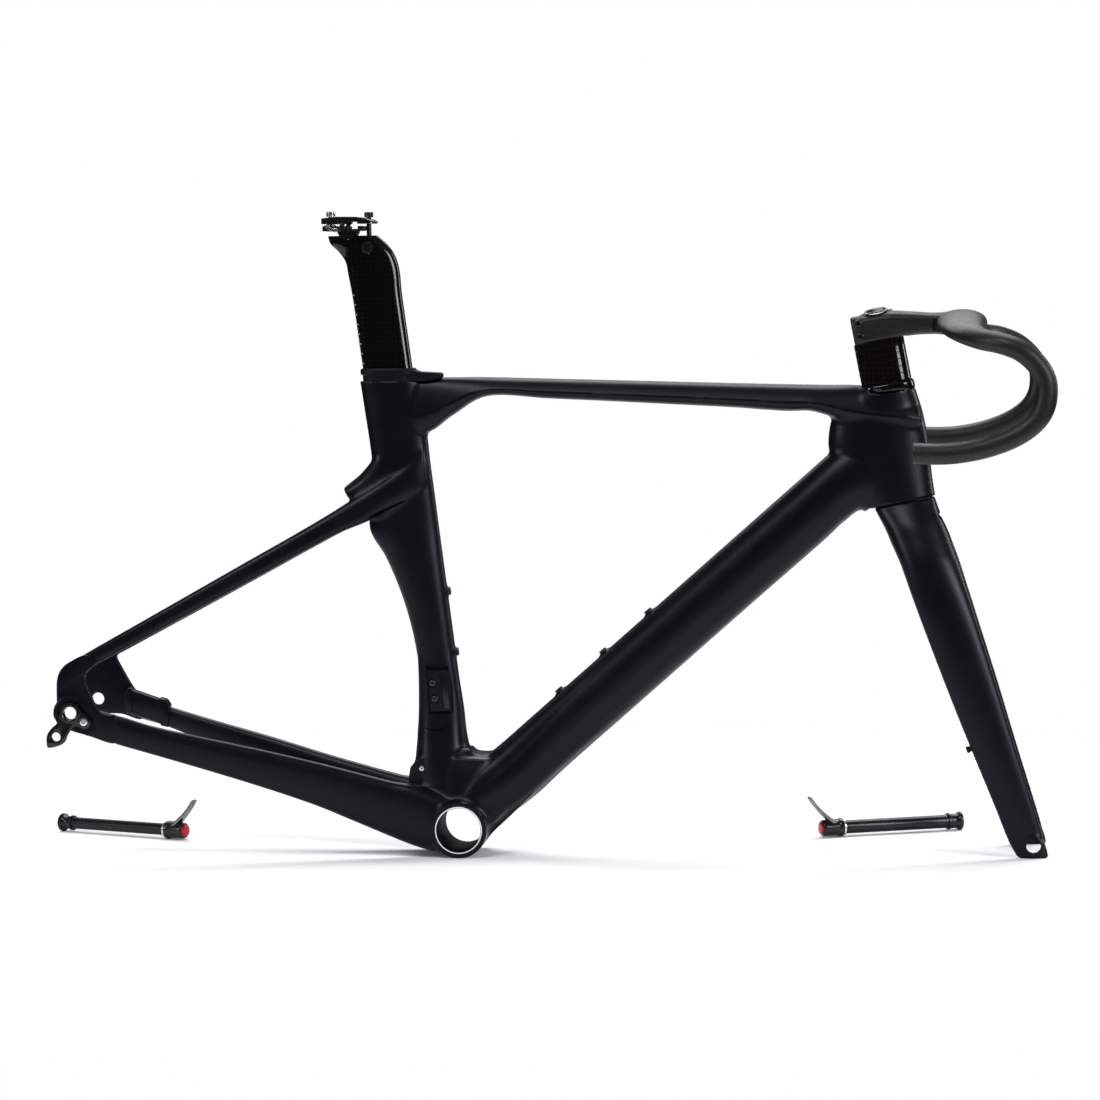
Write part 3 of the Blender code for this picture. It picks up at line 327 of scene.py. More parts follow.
DERAILLEUR_RECESS = (
    (-129.6, 195.5), (-109.0, 195.5), (-103.6, 191.5), (-101.6, 148.5), (-103.6, 145.5), (-127.0, 145.5),
)
PLATE_SLOT = ((-129.0, 190.8), (-106.6, 190.8), (-106.6, 195.0), (-129.0, 195.0))
DERAILLEUR_RIB = ((-114.5, 186.5), (-109.0, 186.0), (-105.4, 150.5), (-111.0, 150.5))
YOKE_GROOVE = ((-185.5, 346.6), (-177, 350.6), (-168.7, 354.2), (-155.3, 360.2), (-148.1, 363.2))
CABLE_SLIT = (
    (-133.5, 131.6), (-127, 129.7), (-120, 129.0), (-113.5, 130.0), (-109.3, 133.2), (-108.0, 137.0),
)
DERAILLEUR_SCREWS = (("upper", -123.0, 176.5), ("lower", -121.0, 160.5))
GUIDE_SCREW = (-135.0, 90.0)

# ---------------------------------------------------------------- camera, lights and floor


def stand_camera():
    """A long lens, a little to the front and above, looking at the middle of the set."""
    yaw, pitch, roll = math.radians(5.2533), math.radians(3.7084), math.radians(-0.8984)
    target = Vector((0.02125, 0.0, 0.310656))
    distance = 4.6
    ahead = Vector((-math.sin(yaw) * math.cos(pitch), math.cos(yaw) * math.cos(pitch), -math.sin(pitch)))
    level = ahead.cross(Vector((0, 0, 1))).normalized()
    upright = level.cross(ahead)
    right = level * math.cos(roll) + upright * math.sin(roll)
    up = upright * math.cos(roll) - level * math.sin(roll)
    data = bpy.data.cameras.new("camera")
    data.lens = 147.59
    data.sensor_width = 36.0
    data.clip_end = 60.0
    camera = bpy.data.objects.new("camera", data)
    camera.matrix_world = Matrix((
        (right.x, up.x, -ahead.x, target.x - ahead.x * distance),
        (right.y, up.y, -ahead.y, target.y - ahead.y * distance),
        (right.z, up.z, -ahead.z, target.z - ahead.z * distance),
        (0, 0, 0, 1)))
    bpy.context.scene.collection.objects.link(camera)
    bpy.context.scene.camera = camera


def softbox(name, place_at, aim, width, height, power):
    """A rectangular studio light aimed at a point."""
    data = bpy.data.lights.new(name, "AREA")
    data.shape = "RECTANGLE"
    data.size, data.size_y = width, height
    data.energy = power
    lamp = bpy.data.objects.new(name, data)
    lamp.location = place_at
    lamp.rotation_euler = (Vector(aim) - Vector(place_at)).to_track_quat("-Z", "Y").to_euler()
    bpy.context.scene.collection.objects.link(lamp)


def light_studio():
    """White surroundings for the eye; for the gloss, dark at the horizon and bright overhead."""
    world = bpy.data.worlds.new("studio")
    bpy.context.scene.world = world
    world.use_nodes = True
    nodes, links = world.node_tree.nodes, world.node_tree.links
    nodes.clear()
    out = nodes.new("ShaderNodeOutputWorld")
    seen, unseen, mix = (nodes.new(kind) for kind in (
        "ShaderNodeBackground", "ShaderNodeBackground", "ShaderNodeMixShader"))
    ray = nodes.new("ShaderNodeLightPath")
    where = nodes.new("ShaderNodeTexCoord")
    split = nodes.new("ShaderNodeSeparateXYZ")
    ramp = nodes.new("ShaderNodeValToRGB")
    seen.inputs["Color"].default_value = (1, 1, 1, 1)
    ramp.color_ramp.elements[0].position = 0.1
    ramp.color_ramp.elements[0].color = (0.045, 0.045, 0.05, 1)
    ramp.color_ramp.elements[1].position = 0.75
    ramp.color_ramp.elements[1].color = (0.17, 0.18, 0.21, 1)
    links.new(where.outputs["Generated"], split.inputs[0])
    links.new(split.outputs["Z"], ramp.inputs["Fac"])
    links.new(ramp.outputs["Color"], unseen.inputs["Color"])
    links.new(ray.outputs["Is Camera Ray"], mix.inputs["Fac"])
    links.new(unseen.outputs[0], mix.inputs[1])
    links.new(seen.outputs[0], mix.inputs[2])
    links.new(mix.outputs[0], out.inputs["Surface"])
    overhead = bpy.data.lights.new("overhead", "SUN")
    overhead.energy = 2.1
    overhead.angle = math.radians(36)
    lamp = bpy.data.objects.new("overhead", overhead)
    lamp.rotation_euler = (math.radians(-24), 0, 0)
    bpy.context.scene.collection.objects.link(lamp)
    softbox("front_right", (3.4, -2.6, 1.75), (0.2, 0.0, 0.35), 1.3, 1.9, 105)
    softbox("front_left", (-3.6, -2.0, 1.6), (-0.2, 0.0, 0.35), 1.0, 1.8, 45)
    softbox("back_right", (3.0, 1.6, 1.4), (0.2, 0.0, 0.3), 0.6, 2.0, 30)
    softbox("top_front", (-0.9, -2.2, 2.8), (-0.1, 0.0, 0.3), 1.6, 0.6, 38)
    softbox("back_top", (-0.2, 2.8, 2.0), (0.0, 0.0, 0.3), 2.6, 0.7, 18)
    bpy.context.scene.view_settings.view_transform = "Standard"


def lay_floor():
    """A plain pale round floor that melts into the white surroundings."""
    radius, sides = 1.2, 96
    angles = np.arange(sides) * 2 * math.pi / sides
    corners = [(radius * math.cos(angle), radius * math.sin(angle), 0) for angle in angles]
    mesh = bpy.data.meshes.new("floor")
    mesh.from_pydata(corners, [], [tuple(range(sides))])
    floor = bpy.data.objects.new("floor", mesh)
    bpy.context.scene.collection.objects.link(floor)
    material = bpy.data.materials.new("floor")
    material.use_nodes = True
    nodes, links = material.node_tree.nodes, material.node_tree.links
    shader = nodes["Principled BSDF"]
    noise = nodes.new("ShaderNodeTexNoise")
    ramp = nodes.new("ShaderNodeValToRGB")
    noise.inputs["Scale"].default_value = 60.0
    ramp.color_ramp.elements[0].color = (0.93, 0.93, 0.93, 1)
    ramp.color_ramp.elements[1].color = (0.95, 0.95, 0.95, 1)
    links.new(noise.outputs["Fac"], ramp.inputs["Fac"])
    links.new(ramp.outputs["Color"], shader.inputs["Base Color"])
    shader.inputs["Roughness"].default_value = 0.9
    shader.inputs["Specular IOR Level"].default_value = 0.0
    mesh.materials.append(material)


stand_camera()
light_studio()
lay_floor()

# ---------------------------------------------------------------- materials


def start_material(name, metallic=0.0, specular=0.5, coat=0.0):
    """A Principled material whose whole-surface values are set on the shader itself, and its node tree."""
    material = bpy.data.materials.new(name)
    material.use_nodes = True
    shader = material.node_tree.nodes["Principled BSDF"]
    shader.inputs["Metallic"].default_value = metallic
    shader.inputs["Specular IOR Level"].default_value = specular
    shader.inputs["Coat Weight"].default_value = coat
    shader.inputs["Coat Roughness"].default_value = 0.06
    return material, material.node_tree


def object_space(tree, stretch=(1, 1, 1)):
    """Texture coordinates that move with the piece, stretched along its axes."""
    where = tree.nodes.new("ShaderNodeTexCoord")
    mapping = tree.nodes.new("ShaderNodeMapping")
    mapping.inputs["Scale"].default_value = stretch
    tree.links.new(where.outputs["Object"], mapping.inputs["Vector"])
    return mapping.outputs["Vector"]


def noise_of(tree, scale, detail=4.0, stretch=(1, 1, 1)):
    """A noise texture in object space, scale in cells per metre."""
    noise = tree.nodes.new("ShaderNodeTexNoise")
    noise.inputs["Scale"].default_value = scale
    noise.inputs["Detail"].default_value = detail
    tree.links.new(object_space(tree, stretch), noise.inputs["Vector"])
    return noise.outputs["Fac"]


def remap(tree, value, low, high, start=0.3, end=0.7):
    """The value moved from the range start to end into low to high."""
    node = tree.nodes.new("ShaderNodeMapRange")
    node.inputs["From Min"].default_value = start
    node.inputs["From Max"].default_value = end
    node.inputs["To Min"].default_value = low
    node.inputs["To Max"].default_value = high
    tree.links.new(value, node.inputs["Value"])
    return node.outputs["Result"]


def between(tree, value, dark, light, start=0.3, end=0.7):
    """A colour between dark and light, chosen by the value."""
    ramp = tree.nodes.new("ShaderNodeValToRGB")
    ramp.color_ramp.elements[0].position = start
    ramp.color_ramp.elements[0].color = (*dark, 1)
    ramp.color_ramp.elements[1].position = end
    ramp.color_ramp.elements[1].color = (*light, 1)
    tree.links.new(value, ramp.inputs["Fac"])
    return ramp.outputs["Color"]


def relief(tree, height, strength, depth_mm):
    """Bump from a height in 0 to 1, depth_mm deep."""
    bump = tree.nodes.new("ShaderNodeBump")
    bump.inputs["Strength"].default_value = strength
    bump.inputs["Distance"].default_value = depth_mm * MM
    tree.links.new(height, bump.inputs["Height"])
    tree.links.new(bump.outputs["Normal"], tree.nodes["Principled BSDF"].inputs["Normal"])


def wire(tree, colour, roughness):
    """Connect a colour and a roughness to the tree's shader."""
    shader = tree.nodes["Principled BSDF"]
    tree.links.new(colour, shader.inputs["Base Color"])
    tree.links.new(roughness, shader.inputs["Roughness"])


def twill(tree, pitch_mm):
    """The 0 to 1 pattern of a woven cloth, its tows pitch_mm wide and crossing at right angles."""
    space = object_space(tree)
    scale = 0.157 / (pitch_mm * MM)
    waves = []
    for direction in ("X", "Z"):
        wave = tree.nodes.new("ShaderNodeTexWave")
        wave.wave_type = "BANDS"
        wave.bands_direction = direction
        wave.inputs["Scale"].default_value = scale
        wave.inputs["Distortion"].default_value = 0.6
        wave.inputs["Detail"].default_value = 1.0
        wave.inputs["Detail Scale"].default_value = 3.0
        tree.links.new(space, wave.inputs["Vector"])
        waves.append(wave.outputs["Fac"])
    product = tree.nodes.new("ShaderNodeMath")
    product.operation = "MULTIPLY"
    tree.links.new(waves[0], product.inputs[0])
    tree.links.new(waves[1], product.inputs[1])
    return product.outputs["Value"]


def satin_carbon():
    """Blue-black satin paint over carbon: fine orange peel, faint cloudiness in the sheen."""
    material, tree = start_material("satin_carbon", specular=0.2)
    tree.nodes["Principled BSDF"].inputs["Specular Tint"].default_value = (0.86, 0.89, 1.0, 1)
    cloud = noise_of(tree, 14.0, 3.0)
    wire(tree, between(tree, cloud, (0.0012, 0.0015, 0.0027), (0.0022, 0.0026, 0.0042)),
         remap(tree, noise_of(tree, 45.0), 0.31, 0.36))
    relief(tree, noise_of(tree, 850.0, 2.0), 0.16, 0.03)
    return material


def cockpit_carbon():
    """Charcoal satin carbon with the ghost of its woven cloth and a fine grain."""
    material, tree = start_material("cockpit_carbon", specular=0.38)
    wire(tree, between(tree, twill(tree, 3.0), (0.0050, 0.0050, 0.0050), (0.0076, 0.0075, 0.0074), 0.1, 0.9),
         remap(tree, noise_of(tree, 120.0), 0.40, 0.50))
    relief(tree, noise_of(tree, 1500.0, 3.0), 0.5, 0.04)
    return material


def wing_highlight_carbon():
    """The handlebar's flat grip area, a lighter satin: a painted highlight of the overhead light on the
    wing's upper side.
    """
    material, tree = start_material("wing_highlight_carbon", specular=0.35)
    grain = noise_of(tree, 40.0, 5.0, (1.0, 1.0, 3.0))
    wire(tree, between(tree, grain, (0.011, 0.0103, 0.0096), (0.017, 0.016, 0.015)),
         remap(tree, noise_of(tree, 160.0), 0.34, 0.44))
    relief(tree, noise_of(tree, 1500.0, 3.0), 0.5, 0.04)
    return material


def gloss_carbon(name="gloss_carbon", dark=(0.0014, 0.0014, 0.0013), light=(0.0026, 0.0025, 0.0022)):
    """Deep clear gloss over woven carbon."""
    material, tree = start_material(name, specular=0.2, coat=0.3)
    cloth = twill(tree, 2.4)
    wire(tree, between(tree, cloth, dark, light, 0.1, 0.9), remap(tree, cloth, 0.12, 0.26, 0.1, 0.9))
    relief(tree, noise_of(tree, 60.0, 1.0), 0.15, 0.05)
    return material


def alloy(name, dark, light, roughness, metallic=1.0):
    """A metal with a fine grain and small changes of tone."""
    material, tree = start_material(name, metallic)
    grain = noise_of(tree, 700.0)
    wire(tree, between(tree, noise_of(tree, 90.0), dark, light),
         remap(tree, grain, roughness * 0.8, roughness * 1.25))
    relief(tree, grain, 0.25, 0.03)
    return material


def grained_plastic():
    """Black moulded plastic with a fine grain."""
    material, tree = start_material("grained_plastic", specular=0.14)
    wire(tree, between(tree, noise_of(tree, 50.0), (0.0020, 0.0023, 0.0030), (0.0034, 0.0038, 0.0048)),
         remap(tree, noise_of(tree, 300.0), 0.40, 0.50))
    relief(tree, noise_of(tree, 2500.0, 2.0), 0.6, 0.05)
    return material


def bore_shade_black():
    """Near-black inside the bottom bracket sleeve: painted shade of the deep bore."""
    material, tree = start_material("bore_shade_black", specular=0.1)
    wire(tree, between(tree, noise_of(tree, 80.0), (0.0008, 0.0008, 0.0009), (0.0016, 0.0016, 0.0018)),
         remap(tree, noise_of(tree, 300.0), 0.62, 0.78))
    return material


def scale_paint():
    """Worn off-white print of the seatpost's scale."""
    material, tree = start_material("scale_paint")
    wire(tree, between(tree, noise_of(tree, 900.0), (0.24, 0.24, 0.24), (0.46, 0.46, 0.45)),
         remap(tree, noise_of(tree, 400.0), 0.4, 0.6))
    return material


SATIN = satin_carbon()
COCKPIT = cockpit_carbon()
WING_HIGHLIGHT = wing_highlight_carbon()
GLOSS = gloss_carbon()
SPACER_GLOSS = gloss_carbon("spacer_gloss", (0.0022, 0.0014, 0.0013), (0.0062, 0.0028, 0.0025))
PLASTIC = grained_plastic()
BORE_SHADE_BLACK = bore_shade_black()
SCALE_PAINT = scale_paint()
SILVER = alloy("silver_alloy", (0.70, 0.70, 0.72), (0.82, 0.82, 0.84), 0.2)
BRIGHT_STEEL = alloy("bright_steel", (0.60, 0.60, 0.62), (0.75, 0.75, 0.77), 0.25)
BLACK_ALLOY = alloy("black_alloy", (0.006, 0.006, 0.007), (0.012, 0.012, 0.014), 0.26, 0.5)
GLOSSY_ALLOY = alloy("glossy_black_alloy", (0.006, 0.006, 0.007), (0.012, 0.012, 0.013), 0.16, 0.3)
DARK_STEEL = alloy("dark_steel", (0.020, 0.020, 0.022), (0.045, 0.045, 0.048), 0.3, 0.8)
LEVER_GREY = alloy("lever_grey", (0.13, 0.13, 0.135), (0.24, 0.24, 0.245), 0.3)
RED_ALLOY = alloy("red_alloy", (0.30, 0.012, 0.018), (0.50, 0.03, 0.04), 0.3, 0.7)

# ---------------------------------------------------------------- drawing and meshes

low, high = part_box("bottom_bracket_sleeve")
SHIFT = np.array((low + high) / 2) - np.array((BOTTOM_BRACKET[0], 0.0, BOTTOM_BRACKET[1])) * MM


def place(points):
    """Points of the drawing, in millimetres, as points of the row frame in metres."""
    return np.asarray(points, float) * MM + SHIFT


def steer_point(forward, side, s):
    """A point given from the steering axis, in millimetres."""
    x = STEER_POINT[0] + forward * math.cos(STEER_LEAN) + s * math.sin(STEER_LEAN)
    z = STEER_POINT[1] + forward * math.sin(STEER_LEAN) - s * math.cos(STEER_LEAN)
    return (x, side, z)


def post_point(forward, side, t):
    """A point given from the seatpost axis, in millimetres."""
    x = POST_POINT[0] + forward * math.cos(POST_LEAN) - t * math.sin(POST_LEAN)
    z = POST_POINT[1] + forward * math.sin(POST_LEAN) + t * math.cos(POST_LEAN)
    return (x, side, z)


def at(spot, y):
    """A drawing point (x, z) at a sideways place."""
    return (spot[0], y, spot[1])


STEER_AXIS = (math.sin(STEER_LEAN), 0.0, -math.cos(STEER_LEAN))


def through(values, steps, closed=False):
    """A smooth curve through the given tuples, with steps to each span."""
    points = np.asarray(values, float)
    if closed:
        padded = np.vstack([points[-1:], points, points[:2]])
    else:
        padded = np.vstack([points[:1], points, points[-1:]])
    result = []
    for a, b, c, d in zip(padded, padded[1:], padded[2:], padded[3:]):
        bend = 2 * a - 5 * b + 4 * c - d
        twist = 3 * b - a - 3 * c + d
        for k in range(steps):
            t = k / steps
            result.append(b + 0.5 * t * ((c - a) + t * (bend + t * twist)))
    if not closed:
        result.append(points[-1])
    return np.array(result)


def superellipse(sides, square):
    """Points of the unit superellipse; square 2 is a circle and more is boxier."""
    angles = np.arange(sides) * 2 * math.pi / sides
    c, s = np.cos(angles), np.sin(angles)
    power = 2.0 / square
    return np.sign(c) * np.abs(c) ** power, np.sign(s) * np.abs(s) ** power


def ridged(sides, drop):
    """A section with a ridge along each side, drop below its middle."""
    angles = np.arange(sides) * 2 * math.pi / sides
    c, s = np.cos(angles), np.sin(angles)
    u = np.sign(c) * np.abs(c) ** 1.7
    return u - drop * (1 - u * u), np.sign(s) * np.abs(s) ** 0.62


def ovals(stations, side=1, square=2.4, sides=56, steps=8, ridge=None):
    """Rings of a tube along its stations, with a ridge along each side if asked for."""
    u, v = ridged(sides, ridge) if ridge else superellipse(sides, square)
    rings = []
    for x1, z1, x2, z2, y, half_width in through(stations, steps):
        rings.append(np.column_stack((
            (x1 + x2) / 2 + (x1 - x2) / 2 * u,
            side * (y + half_width * v),
            (z1 + z2) / 2 + (z1 - z2) / 2 * u)))
    return rings


def link(name, vertices, faces):
    """A mesh object of drawing points, with its faces turned outwards."""
    mesh = bpy.data.meshes.new(name)
    mesh.from_pydata(place(vertices).tolist(), [], faces)
    bm = bmesh.new()
    bm.from_mesh(mesh)
    bmesh.ops.recalc_face_normals(bm, faces=bm.faces)
    bm.to_mesh(mesh)
    bm.free()
    piece = bpy.data.objects.new(name, mesh)
    bpy.context.scene.collection.objects.link(piece)
    return piece


def loft(name, rings, ring=False):
    """A closed body through rings of points; with ring it closes on itself instead of at flat ends."""
    sides = len(rings[0])
    faces = []
    spans = len(rings) if ring else len(rings) - 1
    for i in range(spans):
        low_ring, high_ring = i * sides, ((i + 1) % len(rings)) * sides
        for k in range(sides):
            n = (k + 1) % sides
            faces.append((low_ring + k, low_ring + n, high_ring + n, high_ring + k))
    if not ring:
        faces.append(tuple(reversed(range(sides))))
        faces.append(tuple(range((len(rings) - 1) * sides, len(rings) * sides)))
    return link(name, np.vstack(rings), faces)


def prism(name, outline, y_low, y_high, rounded=0):
    """An outline of (x, z) points with a thickness along Y, smoothed if rounded is above 0."""
    points = through(outline, rounded, closed=True) if rounded else np.asarray(outline, float)
    x, z = points[:, 0], points[:, 1]
    return loft(name, [np.column_stack((x, np.full(len(x), y), z)) for y in (y_low, y_high)])


def turned(name, origin, axis, profile, sides=64, ring=False):
    """A body turned about an axis through origin; profile holds (radius, distance along the axis)."""
    direction = Vector(axis).normalized()
    across = direction.orthogonal().normalized()
    other = direction.cross(across)
    start = np.array(origin, float)
    angles = np.arange(sides) * 2 * math.pi / sides
    wheel = np.outer(np.cos(angles), np.array(across)) + np.outer(np.sin(angles), np.array(other))
    rings = [start + np.array(direction) * distance + wheel * radius for radius, distance in profile]
    return loft(name, rings, ring)


def rod(name, start, end, radius, sides=64):
    """A round bar between two points."""
    axis = Vector(end) - Vector(start)
    return turned(name, start, axis, ((radius, 0), (radius, axis.length)), sides)


def pin(name, spot, y_from, y_to, radius, sides=64):
    """A round bar square to the drawing at a point (x, z), from one sideways place to another."""
    return rod(name, at(spot, y_from), at(spot, y_to), radius, sides)


def bake(piece):
    """Turn a piece's modifiers into its mesh."""
    graph = bpy.context.evaluated_depsgraph_get()
    mesh = bpy.data.meshes.new_from_object(piece.evaluated_get(graph))
    piece.modifiers.clear()
    piece.data = mesh


def combine(piece, tools, operation):
    """Join or cut a piece with tools, which are used up."""
    for tool in tools:
        modifier = piece.modifiers.new("shape", "BOOLEAN")
        modifier.operation = operation
        modifier.solver = "MANIFOLD"
        modifier.object = tool
    bake(piece)
    for tool in tools:
        bpy.data.objects.remove(tool, do_unlink=True)


def join(piece, *tools):
    """Add tools to a piece as one solid."""
    combine(piece, tools, "UNION")


def cut(piece, *tools):
    """Cut tools out of a piece."""
    combine(piece, tools, "DIFFERENCE")


def soften(piece, width_mm, segments=3, angle=30.0):
    """Round a piece's edges."""
    bevel = piece.modifiers.new("edges", "BEVEL")
    bevel.width = width_mm * MM
    bevel.segments = segments
    bevel.limit_method = "ANGLE"
    bevel.angle_limit = math.radians(angle)
    bevel.use_clamp_overlap = True
    bake(piece)


def finish_piece(piece, body, material, slot, *nodes):
    """Give a piece its material, its smooth shading, its body and the nodes it stands for."""
    piece.data.materials.clear()
    piece.data.materials.append(material)
    piece.data.shade_smooth()
    piece.data.set_sharp_from_angle(angle=math.radians(35))
    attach(piece, body)
    if nodes:
        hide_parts(*nodes)


def repaint(piece, material, chosen):
    """Give the faces that chosen picks, by their middle and normal, a second material."""
    piece.data.materials.append(material)
    for polygon in piece.data.polygons:
        if chosen(polygon.center, polygon.normal):
            polygon.material_index = 1


def remesh(piece, voxel_mm):
    """Rebuild a piece's surface as an even skin."""
    modifier = piece.modifiers.new("skin", "REMESH")
    modifier.mode = "VOXEL"
    modifier.voxel_size = voxel_mm * MM
    bake(piece)


def relax(piece, rounds, fill_rounds):
    """Smooth a skin without shrinking it, then fill its inner corners with soft fillets."""
    mesh = piece.data
    count = len(mesh.vertices)
    points = np.zeros(count * 3)
    mesh.vertices.foreach_get("co", points)
    points = points.reshape(-1, 3)
    edges = np.zeros(len(mesh.edges) * 2, dtype=np.int64)
    mesh.edges.foreach_get("vertices", edges)
    first, second = edges.reshape(-1, 2).T
    links = np.bincount(first, minlength=count) + np.bincount(second, minlength=count)

    def pull(spots):
        """The way from each point to the middle of its neighbours."""
        total = np.empty_like(spots)
        for axis in range(3):
            total[:, axis] = np.bincount(first, spots[second, axis], count)
            total[:, axis] += np.bincount(second, spots[first, axis], count)
        return total / links[:, None] - spots

    for _ in range(rounds):
        points += 0.5 * pull(points)
        points -= 0.53 * pull(points)
    normals = np.zeros(count * 3)
    for step in range(fill_rounds):
        if step % 4 == 0:
            mesh.vertices.foreach_set("co", points.ravel())
            mesh.update()
            mesh.vertex_normals.foreach_get("vector", normals)
        outward = normals.reshape(-1, 3)
        lift = np.einsum("ij,ij->i", pull(points), outward)
        points += outward * (0.6 * np.clip(lift - 0.00001, 0, None))[:, None]
    for _ in range(rounds):
        points += 0.5 * pull(points)
        points -= 0.53 * pull(points)
    mesh.vertices.foreach_set("co", points.ravel())
    mesh.update()


# ---------------------------------------------------------------- carbon frame


def wheel_arc_x(z):
    """The x of the wheel cut-out behind the seat tube at height z."""
    return REAR_AXLE[0] + math.sqrt(WHEEL_CLEARANCE ** 2 - (z - REAR_AXLE[1]) ** 2)


def seat_tube_front_x(z):
    """The x of the seat tube's straight front edge at height z."""
    return -76.0 - 0.1176 * z


def boss_axis(label):
    """A bottle boss's outward direction."""
    lean = math.radians(40.9 + 90.0) if label.startswith("down") else math.radians(6.7)
    return (math.cos(lean), 0.0, math.sin(lean))


def bottle_pad(label, x, z):
    """A low pad under a bottle screw."""
    return turned("pad_" + label, (x, 0, z), boss_axis(label), ((7.5, -3.0), (6.2, 0.3), (5.0, 0.8)))


def frame_lofts():
    """The tubes, stays, dropouts and pads that make up the frame."""
    seat_tube = list(SEAT_TUBE_LOW)
    seat_tube += [(wheel_arc_x(z), z, seat_tube_front_x(z), z, 0, 15.5) for z in SEAT_TUBE_HEIGHTS]
    seat_tube += SEAT_TUBE_HIGH
    parts = [
        loft("head_tube", ovals(HEAD_TUBE, square=2.2)),
        loft("top_tube", ovals(TOP_TUBE, sides=96, ridge=TOP_TUBE_RIDGE)),
        loft("seat_tube", ovals(seat_tube, square=2.2)),
        loft("seat_tube_foot", ovals(SEAT_TUBE_FOOT, square=2.5)),
        loft("web_fill", ovals(BB_FILL, square=3.2)),
        loft("down_tube_root", ovals(DOWN_TUBE_ROOT, square=3.4)),
        loft("yoke", ovals(YOKE, square=2.6)),
        prism("web", BB_WEB, -BB_WEB_HALF_WIDTH, BB_WEB_HALF_WIDTH, rounded=3),
        pin("shell", BOTTOM_BRACKET, -BB_HALF_WIDTH, BB_HALF_WIDTH, BB_RADIUS, 96)]
    for label, side in RIGHT_LEFT:
        inner, outer = sorted((side * DROPOUT_INNER, side * DROPOUT_OUTER))
        chainstay = CHAINSTAY_ROOT + (CHAINSTAY_RIGHT if side < 0 else CHAINSTAY_LEFT)
        dropout = prism("dropout_" + label, DROPOUT if side < 0 else DROPOUT_LEFT, inner, outer, rounded=3)
        soften(dropout, 2.0, 3, 50.0)
        parts += [
            loft("seatstay_" + label, ovals(SEATSTAY, side, 2.7, 48)),
            loft("chainstay_" + label, ovals(chainstay, side, 2.7, 48)),
            dropout]
    land = ((17.5, 0), (17.5, 4.4), (15.6, 5.6))
    parts.append(turned("hanger_land", at(REAR_AXLE, -74), (0, -1, 0), land))
    parts.append(prism("brake_pad", BRAKE_PAD, 62.5, 76.4))
    parts += [bottle_pad(*boss) for boss in BOTTLE_BOSSES]
    return parts


def headset_scoop():
    """The hollow behind and around the headset cover."""
    outline = ((-28.5, 26), (-26.8, 34.8), (-23.8, 40.2), (-18.8, 45.5), (-6, 48.4), (10, 48.8), (22, 48.0),
               (44, 47.0), (44, -20), (-28.5, -20))
    points = [steer_point(forward, 0, s) for forward, s in outline]
    return prism("scoop", [(x, z) for x, y, z in points], -40, 40)


def steering_tool(name, profile, sides=96):
    """A turned tool about the steering axis; profile holds (radius, s)."""
    return turned(name, steer_point(0, 0, 0), STEER_AXIS, profile, sides)


def steering_bore(name, radius, s_from, s_to):
    """A round bar along the steering axis."""
    return steering_tool(name, ((radius, s_from), (radius, s_to)))


def post_section(t, room):
    """The seatpost's section with some room round it, at t along its axis."""
    front = post_point(POST_HALF_DEPTH + room, 0, t)
    rear = post_point(-POST_HALF_DEPTH - room, 0, t)
    return (rear[0], rear[2], front[0], front[2], 0, POST_HALF_WIDTH + room)


def post_bore(room, t_low):
    """The hole for the seatpost, with some room round it, from t_low up."""
    return loft("post_bore", ovals([post_section(t, room) for t in (t_low, 60)], square=POST_SQUARE, steps=1))


def groove(name, spots, half_width, y_low, y_high):
    """A tool that cuts a groove along a curve, fading to a point at both ends."""
    curve = through(spots, 6)
    ways = np.gradient(curve, axis=0)
    across = np.column_stack((-ways[:, 1], ways[:, 0])) / np.linalg.norm(ways, axis=1)[:, None]
    swell = 0.15 + np.sin(np.linspace(0, math.pi, len(curve)))[:, None] ** 0.5
    across *= half_width * swell
    return prism(name, np.vstack([curve + across, (curve - across)[::-1]]), y_low, y_high)


def crisp_blocks():
    """The plates of the dropouts and the brake mount, a little proud of the skin, with sharp edges."""
    proud = 0.3
    blocks = []
    for label, side in RIGHT_LEFT:
        inner, outer = sorted((side * (DROPOUT_INNER - proud), side * (DROPOUT_OUTER + proud)))
        outline = DROPOUT if side < 0 else DROPOUT_LEFT
        plate = prism("crisp_dropout_" + label, outline, inner, outer, rounded=6)
        soften(plate, 0.9, 3, 50.0)
        blocks.append(plate)
    mount = [prism("crisp_pad", BRAKE_PAD, 62.0, 77.0)]
    mount += [prism("crisp_ridge", ridge, 60.8, 77.6) for ridge in BRAKE_RIDGES]
    for block in mount:
        soften(block, 0.8, 2, 30.0)
    return blocks + mount


def frame_openings():
    """The bores, seats and grooves that are cut into the finished skin."""
    head_bore = ((BEARING_SEAT_RADIUS, 30), (BEARING_SEAT_RADIUS, 58), (HEAD_BORE_RADIUS, 58),
                 (HEAD_BORE_RADIUS, 150.5), (BEARING_SEAT_RADIUS, 150.5), (BEARING_SEAT_RADIUS, 175))
    hanger_seat = ((-480, 167), (-463, 153), (-460, 140), (-485, 122), (-515, 116), (-515, 140), (-499, 152))
    return (
        pin("bb_bore", BOTTOM_BRACKET, -60, 60, SLEEVE_SEAT_RADIUS, 128),
        loft("cover_room", [steering_ring(s, -29.4, 25.8, 21.1) for s in (-20, HEAD_TOP_S)]),
        post_bore(0.4, -172),
        steering_tool("head_bore", head_bore),
        prism("derailleur_recess", DERAILLEUR_RECESS, -30, -13.4),
        prism("plate_slot", PLATE_SLOT, -30, -9.0),
        groove("cable_slit", CABLE_SLIT, 0.5, -30, -16.6),
        groove("yoke_groove_right", YOKE_GROOVE, 1.1, -30, -12.8),
        groove("yoke_groove_left", YOKE_GROOVE, 1.1, 12.8, 30),
        pin("hanger_ring", REAR_AXLE, -BEYOND, -75.6, 12.8),
        prism("hanger_seat", hanger_seat, -BEYOND, -75.4),
        pin("axle_right", REAR_AXLE, -BEYOND, -60, 6.8),
        pin("axle_left", REAR_AXLE, 60, BEYOND, 9.1))


